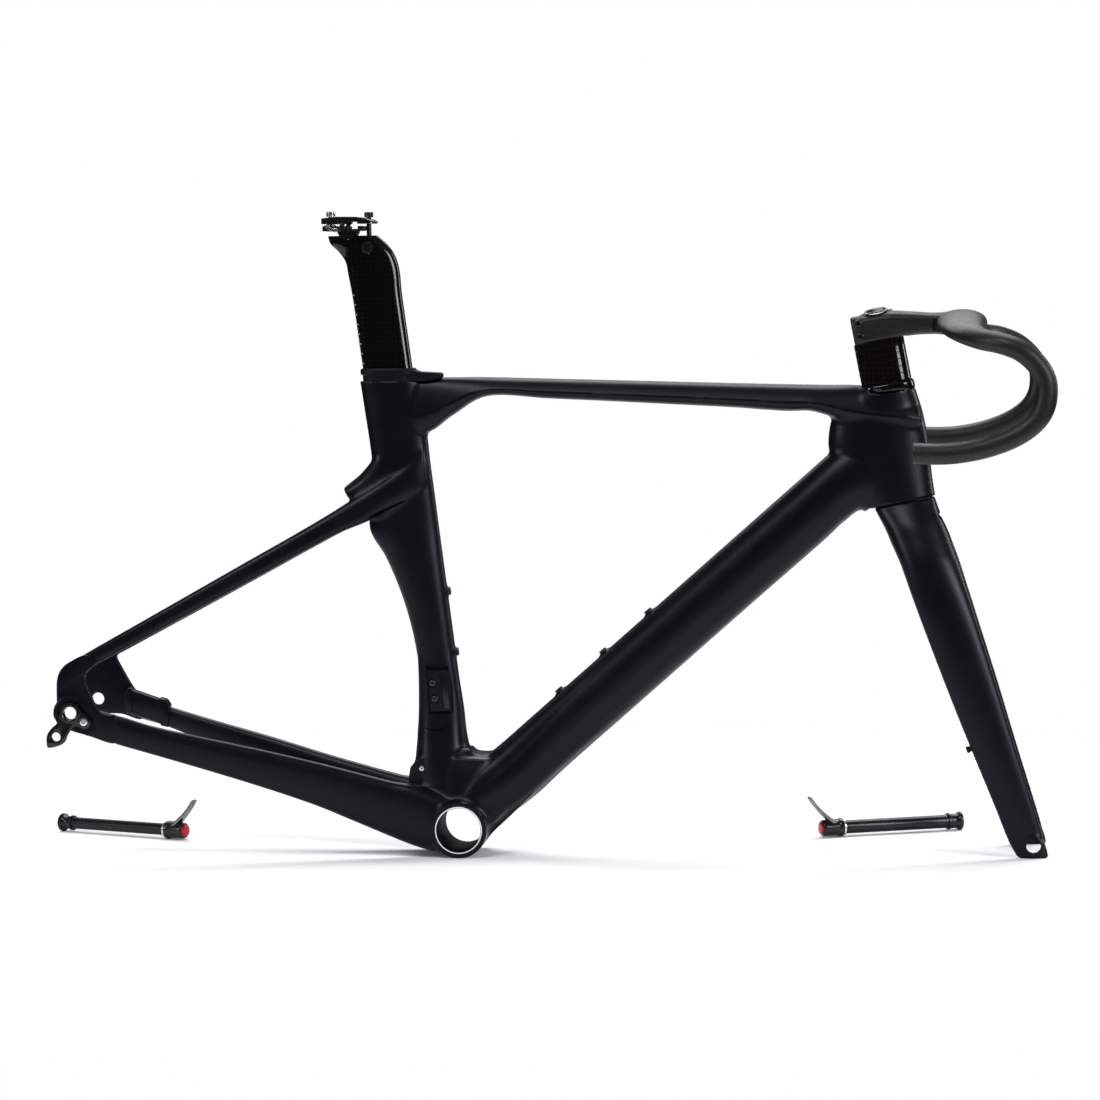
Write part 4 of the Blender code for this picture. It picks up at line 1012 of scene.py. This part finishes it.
def build_frame_skin():
    """The painted frame: one skin over the front triangle, the stays and the dropouts."""
    skin = loft("frame_skin", ovals(DOWN_TUBE, square=2.2, sides=72))
    join(skin, *frame_lofts())
    cover_seat = ((-230, 485.4), (-138, 485.4), (-109.5, 488.4), (-109.0, 540), (-230, 540))
    cut(skin,
        headset_scoop(),
        steering_tool("crown_room", ((47.0, HEAD_BOTTOM_S), (47.0, 161.8), (66.0, 165.8), (66.0, 240))),
        prism("cover_seat", cover_seat, -40, 40))
    remesh(skin, SKIN_VOXEL)
    relax(skin, 5, 95)
    join(skin, *crisp_blocks())
    edge = 1.2
    join(skin, turned("shell_rim", at(BOTTOM_BRACKET, 0), (0, 1, 0), (
        (BB_RADIUS - edge, -BB_HALF_WIDTH), (BB_RADIUS, edge - BB_HALF_WIDTH),
        (BB_RADIUS, BB_HALF_WIDTH - edge), (BB_RADIUS - edge, BB_HALF_WIDTH)), 128))
    cut(skin, *frame_openings())
    finish_piece(skin, "frame", SATIN, "frame_carbon", "front_triangle", "seatstay_right", "seatstay_left",
                 "chainstay_right", "chainstay_left")


def build_lower_seal():
    """The thin black ring between the head tube and the crown."""
    levels = (HEAD_BOTTOM_S - 0.4, CROWN_TOP_S - 0.1)
    seal = loft("lower_seal", [steering_ring(s, -42.0, 19.6, 20.5) for s in levels])
    cut(seal, steering_bore("seal_bore", COVER_BORE_RADIUS, 140, 170))
    finish_piece(seal, "frame", PLASTIC, "black_plastic")


# ---------------------------------------------------------------- fork


def build_fork():
    """Steerer, crown and blades."""
    skin = loft("fork_skin", ovals(FORK_CROWN, square=2.5))
    for label, side in RIGHT_LEFT:
        join(skin, loft("blade_" + label, ovals(FORK_BLADE, side, 2.0)))
        join(skin, pin("hub_pad_" + label, FRONT_AXLE, side * 50, side * 61, 10.5))
    cut(skin,
        pin("wheel_room", FRONT_AXLE, -22, 22, FORK_WHEEL_CLEARANCE, 256),
        steering_tool("crown_top", ((70, CROWN_TOP_S), (70, 60))))
    remesh(skin, SKIN_VOXEL)
    relax(skin, 14, 60)
    join(skin, steering_bore("steerer", STEERER_RADIUS, -29, 172))
    cut(skin,
        steering_bore("steerer_bore", 11.8, -40, 60),
        pin("axle_right", FRONT_AXLE, -BEYOND, -30, 7.3),
        pin("axle_left", FRONT_AXLE, 30, BEYOND, 8.7))
    finish_piece(skin, "fork", SATIN, "frame_carbon", "fork")


# ---------------------------------------------------------------- cockpit


def bar_rings(sides, shrink=0.0, first=0):
    """Rings along the right half of the handlebar, from the middle or a later ring out."""
    spots = through(BAR, BAR_STEPS)[first:]
    angles = np.arange(sides) * 2 * math.pi / sides
    rings = []
    for k, (x, y, z, chord, thick) in enumerate(spots):
        before, after = spots[max(k - 1, 0)][:3], spots[min(k + 1, len(spots) - 1)][:3]
        along = Vector(after - before).normalized()
        if k == first == 0:
            along = Vector((0, 1, 0))
        blend = min(max((abs(along.y) - 0.2) / 0.6, 0.0), 1.0)
        inward = Vector((-blend, 1.0 - blend, 0))
        wide = (inward - along * inward.dot(along)).normalized()
        tall = along.cross(wide)
        ring = np.array((x, y, z)) + np.outer(np.cos(angles) * (chord - shrink), np.array(wide))
        ring += np.outer(np.sin(angles) * (thick - shrink), np.array(tall))
        ring[:, 1] *= -1
        rings.append(ring)
    return rings


def mirrored(rings):
    """The same rings on the other side of the middle plane."""
    return [ring * np.array((1, -1, 1)) for ring in rings]


def cockpit_openings():
    """The bar's open ends, the stem's bores and slots, and the flats in its sides."""
    end_wall, end_ring = 2.0, 14 * BAR_STEPS
    hollow = bar_rings(40, end_wall, end_ring)
    hollow.append(hollow[-1] * 2 - hollow[-6])
    foot = [steer_point(forward, 0, s) for forward, s in (
        (-60, SPACER_TOP_S - 0.2), (26, SPACER_TOP_S - 0.2), (26, 40), (-60, 40))]
    tools = [
        loft("end_right", hollow),
        loft("end_left", mirrored(hollow)),
        steering_bore("stem_bore", SPACER_BORE_RADIUS, -60, 20),
        steering_bore("cap_seat", 17.6, -60, -32.4),
        prism("stem_slot", ((290, 500), (290, 560), (331, 560), (337, 500)), -0.8, 0.8),
        prism("stem_foot", [(x, z) for x, y, z in foot], -40, 40)]
    tools += [pin("screw_" + label, spot, -40, -15.2, 4.2) for label, spot in STEM_SCREWS]
    for label, outline, depth in (("panel", STEM_PANEL, 18.0), ("facet", STEM_FACET, 17.0)):
        tools.append(prism(label + "_right", outline, -40, -depth))
        tools.append(prism(label + "_left", outline, depth, 40))
    return tools


def build_cockpit():
    """Stem and handlebar as one moulding with open bar ends; the wing's upward-facing faces get a lighter
    satin, a painted highlight.
    """
    skin = loft("cockpit_skin", ovals(STEM, square=3.4))
    half = bar_rings(48)
    join(skin, loft("bar", list(reversed(mirrored(half[1:]))) + half))
    remesh(skin, SKIN_VOXEL)
    relax(skin, 4, 40)
    cut(skin, *cockpit_openings())
    finish_piece(skin, "fork", COCKPIT, "cockpit_carbon", "cockpit")
    # The wing's faces that point upwards get the lighter satin: a painted highlight of the overhead light.
    wing_rear, wing_side, faces_up = place((404, 0, 0))[0], place((0, 172, 0))[1], 0.45
    repaint(skin, WING_HIGHLIGHT, lambda spot, normal: (
        spot.x > wing_rear and abs(spot.y) < wing_side and normal.z > faces_up))


def steering_ring(s, rear, front, half_width, square=2.8, sides=64):
    """A section square to the steering axis."""
    u, v = superellipse(sides, square)
    return np.array([
        steer_point((front + rear) / 2 + (front - rear) / 2 * a, half_width * b, s) for a, b in zip(u, v)])


def build_spacers():
    """Six glossy spacers with rounded edges."""
    pitch = (SPACER_BOTTOM_S - SPACER_TOP_S) / SPACER_COUNT
    for k in range(SPACER_COUNT):
        top = SPACER_TOP_S + k * pitch + 0.08
        bottom = top + pitch - 0.16
        edge = 0.35
        sections = ((top, edge), (top + 0.2, edge / 3), (top + edge, 0), (bottom - edge, 0),
                    (bottom - 0.2, edge / 3), (bottom, edge))
        rings = [steering_ring(s, -28.0 + inset, 23.0 - inset, 18.6 - inset) for s, inset in sections]
        name = "spacer_%d" % (k + 1)
        spacer = loft(name + "_skin", rings)
        cut(spacer, steering_bore("bore", SPACER_BORE_RADIUS, -20, 60))
        finish_piece(spacer, "fork", SPACER_GLOSS, "gloss_carbon", name)


def build_headset_cover():
    """The glossy cover that sinks into the head tube, with a lip at its top."""
    sections = ((49.0, -23.0, 24.2, 18.5), (47.0, -25.0, 25.0, 19.8), (44.5, -26.8, 25.2, 20.4),
                (42.6, -27.6, 25.0, 20.4), (41.8, -28.6, 25.0, 20.6), (40.2, -28.8, 24.6, 20.2),
                (38.6, -28.2, 23.4, 19.0), (38.2, -27.0, 22.4, 18.2))
    cover = loft("headset_cover_skin", [steering_ring(*section) for section in sections])
    cut(cover, steering_bore("cover_bore", COVER_BORE_RADIUS, 30, 60))
    finish_piece(cover, "frame", GLOSS, "gloss_carbon", "headset_cover")


def socket_screw(name, point, axis, radius, height, material, slot, body):
    """A node's screw head with a rounded rim and a hex socket, standing on the point's plane."""
    profile = ((radius * 0.9, -1.5), (radius, 0.1), (radius, height * 0.6), (radius * 0.93, height * 0.88),
               (radius * 0.78, height))
    head = turned(name + "_head", point, axis, profile, 40)
    start = Vector(point) + Vector(axis).normalized() * height * 0.35
    end = Vector(point) + Vector(axis).normalized() * height * 1.5
    cut(head, rod("socket", tuple(start), tuple(end), radius * 0.52, 6))
    finish_piece(head, body, material, slot, name)


def build_top_cap():
    """The domed cap over the steerer, and its bolt."""
    seat = -32.7
    cap = turned("top_cap_skin", steer_point(0, 0, 0), STEER_AXIS, (
        (6.0, seat - 5.0), (8.6, seat - 4.8), (10.4, seat - 4.0), (11.6, seat - 2.6), (13.0, seat - 1.6),
        (16.4, seat - 1.0), (17.2, seat - 0.2), (17.2, seat)))
    cut(cap, steering_bore("cap_recess", 5.6, -50, seat - 2.6), steering_bore("cap_hole", 3.2, -50, -28))
    finish_piece(cap, "fork", BLACK_ALLOY, "black_alloy", "top_cap")
    up = (-STEER_AXIS[0], 0, -STEER_AXIS[2])
    socket_screw("top_cap_bolt", steer_point(0, 0, seat - 2.8), up, 5.2, 2.4, DARK_STEEL,
                 "dark_steel", "fork")


# ---------------------------------------------------------------- seatpost and saddle clamp


def build_seatpost():
    """The glossy post with its curved head, and the scale on its rear edge."""
    stations = [post_section(t, 0) for t in (-105, -40, 20, 70)]
    post = loft("seatpost_skin", ovals(stations + list(POST_HEAD), square=POST_SQUARE, sides=72))
    cut(post,
        pin("cradle_groove", TILT_PIVOT, -30, 30, 10.3, 96),
        pin("barrel_hole", BARREL_NUT, -30, 30, 6.5),
        prism("bolt_slot", ((-189, 622), (-189, 660), (-173, 660), (-176, 622)), -4.2, 4.2))
    finish_piece(post, "seatpost", GLOSS, "gloss_carbon", "seatpost")
    build_scale()


def build_scale():
    """Raised ticks every five millimetres round the post's rear edge, every second one longer."""
    bm = bmesh.new()
    sides, tick_count, first_t, pitch, tall, proud = 240, 15, 6.0, 5.0, 1.2, 0.15
    depth, width = POST_HALF_DEPTH + proud, POST_HALF_WIDTH + proud
    u, v = superellipse(sides, POST_SQUARE)
    for k in range(tick_count):
        reach = 0.95 if k % 2 else 0.88
        rear = sorted((i for i in range(sides) if u[i] > reach), key=lambda i: v[i])
        for low_i, high_i in zip(rear, rear[1:]):
            corners = []
            for i, rise in ((low_i, 0.0), (high_i, 0.0), (high_i, tall), (low_i, tall)):
                spot = post_point(-depth * u[i], width * v[i], first_t + pitch * k + rise)
                corners.append(bm.verts.new(place(spot)))
            bm.faces.new(corners)
    bmesh.ops.remove_doubles(bm, verts=bm.verts, dist=0.00001)
    mesh = bpy.data.meshes.new("seatpost_scale")
    bm.to_mesh(mesh)
    bm.free()
    scale = bpy.data.objects.new("seatpost_scale", mesh)
    bpy.context.scene.collection.objects.link(scale)
    thick = scale.modifiers.new("thick", "SOLIDIFY")
    thick.thickness = 0.0004
    thick.offset = 0.0
    bake(scale)
    finish_piece(scale, "seatpost", SCALE_PAINT, "silver_alloy")


def build_barrel_nut():
    """The round cross nut in the post's head, its ends knurled and slotted."""
    nut = turned("barrel_nut_skin", at(BARREL_NUT, 0), (0, -1, 0), (
        (5.6, -13.8), (6.2, -13.2), (6.2, 13.2), (5.6, 13.8)), 48)
    knurl_count = 12
    knurls = []
    for k in range(knurl_count):
        angle = 2 * math.pi * k / knurl_count
        spot = (BARREL_NUT[0] + 6.4 * math.cos(angle), BARREL_NUT[1] + 6.4 * math.sin(angle))
        knurls.append(pin("knurl", spot, -15, -11.5, 0.7, 12))
    cut(nut, *knurls, pin("dimple", BARREL_NUT, -15, -12.2, 3.0, 6))
    finish_piece(nut, "seatpost", DARK_STEEL, "black_alloy", "seatpost_barrel_nut")


def build_saddle_clamp():
    """Cradle and upper clamp, with their windows, rail grooves and bolt holes."""
    x, z = TILT_PIVOT
    lower_half = np.radians(np.arange(180, 361, 6))
    arc = [(x + 10.0 * math.cos(angle), z + 10.0 * math.sin(angle)) for angle in lower_half]
    cradle = prism("saddle_cradle_skin", arc, -15.0, 15.0)
    plate = ((-226, 638.4), (-189, 638.4), (-187, 641), (-187, 643.4), (-226, 643.4))
    join(cradle, prism("plate", plate, -28, 28))
    crown = ((-227, 645.6), (-177, 645.6), (-176, 648), (-181, 650.5), (-192, 652.6), (-212, 653),
             (-227, 651.5))
    clamp = prism("rail_clamp_skin", crown, -28, 28)
    for piece in (cradle, clamp):
        cut(piece, *[rod("rail", (-240, y, 644.5), (-160, y, 644.5), 3.7, 40) for y in (-22.0, 22.0)])
    cut(clamp, prism("waist", ((-213, 640), (-213, 660), (-191, 660), (-191, 640)), -15.5, 15.5))
    for piece, x_bolt in (
            (clamp, CLAMP_BOLT_REAR_X), (clamp, CLAMP_BOLT_FRONT_X), (cradle, CLAMP_BOLT_REAR_X)):
        cut(piece, rod("bolt_hole", (x_bolt, 0, 600), (x_bolt, 0, 670), 3.0, 32))
    cut(cradle, prism("window_low", ((-203, 640.4), (-190, 640.4), (-190, 650), (-203, 650)), -40, 40))
    window = ((-202.5, 640), (-190.5, 640), (-190.5, 647.8), (-202.5, 647.8))
    cut(clamp, prism("window_high", window, -40, 40))
    soften(cradle, 0.8)
    soften(clamp, 0.9)
    finish_piece(cradle, "saddle_clamp", GLOSSY_ALLOY, "black_alloy", "saddle_cradle")
    finish_piece(clamp, "saddle_clamp", SILVER, "silver_alloy", "rail_clamp")
    dark_from, dark_to = place((-207, 0, 0))[0], place((-190.5, 0, 0))[0]
    repaint(clamp, GLOSSY_ALLOY, lambda spot, normal: dark_from < spot.x < dark_to)


def build_clamp_arms():
    """The silver arm and the dark strut at each side of the saddle clamp."""
    for label, side in RIGHT_LEFT:
        inner, outer = sorted((side * 18.0, side * 28.4))
        arm = prism("clamp_arm_" + label, CLAMP_ARM, inner, outer, rounded=3)
        soften(arm, 0.6, 2)
        finish_piece(arm, "saddle_clamp", SILVER, "silver_alloy")
        strut = prism("clamp_strut_" + label, CLAMP_STRUT, inner, outer)
        soften(strut, 0.5, 2)
        finish_piece(strut, "saddle_clamp", DARK_STEEL, "black_alloy")


def build_clamp_bolts():
    """The two upright bolts of the saddle clamp, with socket heads."""
    for label, x_bolt, foot, top, material, slot in (
            ("rear", CLAMP_BOLT_REAR_X, 638.8, 653.2, BRIGHT_STEEL, "bright_steel"),
            ("front", CLAMP_BOLT_FRONT_X, 631.0, 652.0, DARK_STEEL, "dark_steel")):
        name = "clamp_bolt_" + label
        bolt = turned(name + "_skin", (x_bolt, 0, 0), (0, 0, 1), (
            (2.2, foot), (2.5, foot + 0.4), (2.5, top), (4.5, top + 0.1), (4.6, top + 0.5),
            (4.6, top + 4.8), (4.2, top + 5.3), (3.6, top + 5.4)), 40)
        cut(bolt, rod("socket", (x_bolt, 0, top + 2.4), (x_bolt, 0, top + 8), 2.5, 6))
        finish_piece(bolt, "saddle_clamp", material, slot, name)


def build_clamp_cover():
    """The moulded collar round the post, with a low tongue that runs onto the top tube."""
    levels = ((485.0, -1.0, 14.9), (491.0, -0.8, 14.9), (492.4, 1.4, 16.2), (496.8, 1.6, 16.4),
              (498.2, 0.4, 15.6))
    cover = loft("clamp_cover_skin", ovals(
        [(-191.6 - lip, z, -137.5 + lip, z, 0, half) for z, lip, half in levels], square=2.8, steps=1))
    outline = ((-170, 485.0), (-125, 485.0), (-109.4, 488.0), (-109.4, 491.6), (-111.0, 493.0),
               (-132.5, 494.4), (-136.0, 496.2), (-170, 496.2))
    tongue = prism("tongue", outline, -12.4, 12.4)
    soften(tongue, 1.0, 3)
    join(cover, tongue)
    cut(cover, post_bore(0.5, -60))
    finish_piece(cover, "frame", PLASTIC, "black_plastic", "seat_clamp_cover")


# ---------------------------------------------------------------- frame fittings


def build_bb_sleeve():
    """The metal sleeve: bright lips at both faces, and a bore painted near-black as shade."""
    lip = BB_HALF_WIDTH
    sleeve = turned("bb_sleeve_skin", at(BOTTOM_BRACKET, 0), (0, 1, 0), (
        (22.2, -lip + 1.4), (22.9, -lip - 0.2), (24.0, -lip - 0.2), (24.0, lip + 0.2), (22.9, lip + 0.2),
        (22.2, lip - 1.4)), 128, ring=True)
    finish_piece(sleeve, "frame", SILVER, "silver_alloy", "bottom_bracket_sleeve")
    middle = place((0, 0, 0))[1]
    # The faces inside the bore get a near-black material: painted shade inside the sleeve.
    repaint(sleeve, BORE_SHADE_BLACK, lambda spot, normal: abs(spot.y - middle) / MM <= lip - 2.0)


def build_hanger():
    """The derailleur hanger with its raised ring and threaded eye, and its screw."""
    hanger = prism("hanger_skin", HANGER, -79.5, -75.8, rounded=3)
    cut(hanger,
        pin("axle_hole", REAR_AXLE, -BEYOND, -60, 6.5),
        pin("eye", HANGER_HOLE, -BEYOND, -60, 4.6, 40),
        pin("screw_hole", HANGER_SCREW, -BEYOND, -60, 2.9, 32))
    soften(hanger, 0.5, 2)
    finish_piece(hanger, "frame", GLOSSY_ALLOY, "black_alloy", "derailleur_hanger")
    ring = turned("hanger_ring", at(REAR_AXLE, -79.4), (0, -1, 0), (
        (6.6, -0.3), (11.4, -0.3), (11.2, 0.5), (10.2, 1.4), (8.6, 1.5), (7.6, 0.4), (6.8, 0.2)), ring=True)
    finish_piece(ring, "frame", GLOSSY_ALLOY, "black_alloy")
    socket_screw("hanger_screw", at(HANGER_SCREW, -79.5), (0, -1, 0), 4.1, 1.4, BRIGHT_STEEL,
                 "bright_steel", "frame")


def build_derailleur_plate():
    """The front derailleur's plate in its recess, with two domed screws."""
    plate = prism("derailleur_plate_skin", DERAILLEUR_PLATE, -16.8, -13.9)
    soften(plate, 0.7, 3)
    rib = prism("derailleur_rib", DERAILLEUR_RIB, -18.2, -15.5)
    soften(rib, 0.6, 2)
    for label, x, z in DERAILLEUR_SCREWS:
        cut(plate, pin("head_seat", (x, z), -30, -15.6, 4.5, 40))
    finish_piece(plate, "frame", PLASTIC, "black_alloy", "front_derailleur_plate")
    finish_piece(rib, "frame", BLACK_ALLOY, "black_alloy")
    for label, x, z in DERAILLEUR_SCREWS:
        name = "front_derailleur_screw_" + label
        head = turned(name + "_head", at((x, z), -15.6), (0, -1, 0), (
            (3.8, -1.0), (4.0, 0.2), (3.9, 0.9), (3.2, 1.8), (2.0, 2.4), (0.7, 2.6)), 40)
        finish_piece(head, "frame", DARK_STEEL, "dark_steel", name)


def build_small_screws():
    """Bottle screws, the cable guide's screw and the stem's two screws."""
    for label, x, z in BOTTLE_BOSSES:
        axis = Vector(boss_axis(label))
        spot = Vector((x, 0, z)) + axis * 0.6
        socket_screw("bottle_screw_" + label, tuple(spot), axis, 4.4, 2.6, DARK_STEEL, "dark_steel", "frame")
    socket_screw("cable_guide_screw", at(GUIDE_SCREW, -BB_WEB_HALF_WIDTH), (0, -1, 0), 2.7, 1.4,
                 BRIGHT_STEEL, "bright_steel", "frame")
    for label, spot in STEM_SCREWS:
        socket_screw("stem_screw_" + label, at(spot, -15.2), (0, -1, 0), 3.8, 3.2, DARK_STEEL, "dark_steel",
                     "fork")


def build_cable_guide():
    """The small guide on the rear edge of the right blade."""
    guide = turned("cable_guide_skin", (428.2, -54.3, 112.4), (-9.2, 0, -3.5), (
        (2.6, 0), (2.9, 0.4), (2.9, 6.6), (3.4, 7.2), (3.4, 9.2), (2.8, 9.8)), 32)
    finish_piece(guide, "fork", PLASTIC, "black_plastic", "fork_cable_guide")


# ---------------------------------------------------------------- thru-axles


def axle_place(label):
    """A thru-axle's cap end and its direction towards the nut, as the record's lever joint says."""
    joint = JOINTS[label + "_lever_turn"]
    start = (np.array(joint["pos_m"]) - SHIFT) / MM
    return start, Vector(joint["axis"]).normalized()


def build_thru_axle(label, length, radius):
    """Shaft, end nut, washer, lever with its housing, and red end cap."""
    start, direction = axle_place(label)
    body, lever_body = label + "_thru_axle", label + "_lever"
    prefix = label + "_axle_"
    flange = 9.6
    nut_start = length - 16.0
    shaft = ((radius - 0.5, 27.2), (radius, 27.7), (radius, nut_start - 0.3))
    nut = (
        (radius + 1.2, nut_start), (radius + 1.8, nut_start + 0.5), (radius + 1.8, nut_start + 2.6),
        (radius + 0.8, nut_start + 3.6), (radius + 0.6, nut_start + 6.0), (radius + 0.8, length - 6.0),
        (flange - 0.6, length - 3.2), (flange, length - 2.6), (flange, length - 0.5), (flange - 0.5, length))
    cap = ((4.6, 0.0), (5.6, 0.1), (6.5, 0.6), (6.6, 1.7))
    for piece, profile, material, slot, rides in (
            ("shaft", shaft, BLACK_ALLOY, "black_alloy", body),
            ("nut", nut, BLACK_ALLOY, "black_alloy", body),
            ("cap", cap, RED_ALLOY, "red_alloy", lever_body)):
        made = turned(prefix + piece + "_skin", start, direction, profile)
        finish_piece(made, rides, material, slot, prefix + piece)
    washer = turned(prefix + "washer_skin", start, direction, (
        (radius * 0.4, 24.9), (8.6, 24.9), (8.8, 25.1), (8.8, 26.7), (8.6, 26.9), (radius * 0.4, 26.9)),
        ring=True)
    finish_piece(washer, body, SILVER, "silver_alloy", prefix + "washer")
    build_lever(prefix, start, direction, flange, lever_body)


def build_lever(prefix, start, direction, flange, body):
    """The glossy housing with its flange, and the grey arm that rises from it."""
    housing = turned(prefix + "housing", start, direction, (
        (7.0, 1.9), (8.0, 2.2), (8.5, 3.2), (8.6, 5.0), (8.6, 19.6), (flange - 0.2, 20.6), (flange, 21.2),
        (flange, 24.0), (flange - 0.5, 24.6)))
    finish_piece(housing, body, GLOSSY_ALLOY, "black_alloy")
    arm_spots = (
        (14.5, 5.5, 4.6, 6.8), (11.0, 8.6, 4.4, 6.6), (7.5, 11.5, 3.6, 6.0), (1.0, 17.5, 2.8, 5.2),
        (-4.5, 23.5, 2.4, 4.8), (-9.0, 29.5, 2.2, 4.4), (-11.0, 32.6, 1.9, 3.9), (-11.7, 33.8, 1.0, 2.6))
    side = np.array(direction.cross(Vector((0, 0, 1))))
    along = np.array(direction)
    u, v = superellipse(32, 2.6)
    rings = []
    for distance, rise, thick, half in through(arm_spots, 5):
        centre = np.array(start) + along * distance + np.array((0, 0, rise))
        rings.append(centre + np.outer(u * thick, along) + np.outer(v * half, side))
    arm = loft(prefix + "arm", rings)
    finish_piece(arm, body, LEVER_GREY, "grey_alloy", prefix + "lever")


# ---------------------------------------------------------------- carried-over nodes


def dress_inner_nodes():
    """Materials of the CAD nodes that stay as they are."""
    looks = {
        "headset_upper_bearing": BRIGHT_STEEL, "headset_lower_bearing": BRIGHT_STEEL,
        "headset_compression_ring": BRIGHT_STEEL, "crown_race": BRIGHT_STEEL, "steerer_expander": SILVER,
        "seat_clamp_wedge": BLACK_ALLOY, "seat_clamp_bolt": DARK_STEEL,
        "rear_axle_thread_insert": BLACK_ALLOY, "front_axle_thread_insert": BLACK_ALLOY}
    for node, material in looks.items():
        mesh = frame["nodes"][node].data
        mesh.materials.clear()
        mesh.materials.append(material)


build_frame_skin()
build_lower_seal()
build_fork()
build_cockpit()
build_spacers()
build_headset_cover()
build_top_cap()
build_seatpost()
build_barrel_nut()
build_saddle_clamp()
build_clamp_arms()
build_clamp_bolts()
build_clamp_cover()
build_bb_sleeve()
build_hanger()
build_derailleur_plate()
build_small_screws()
build_cable_guide()
build_thru_axle("rear", 168.0, 6.3)
build_thru_axle("front", 158.0, 7.0)
dress_inner_nodes()
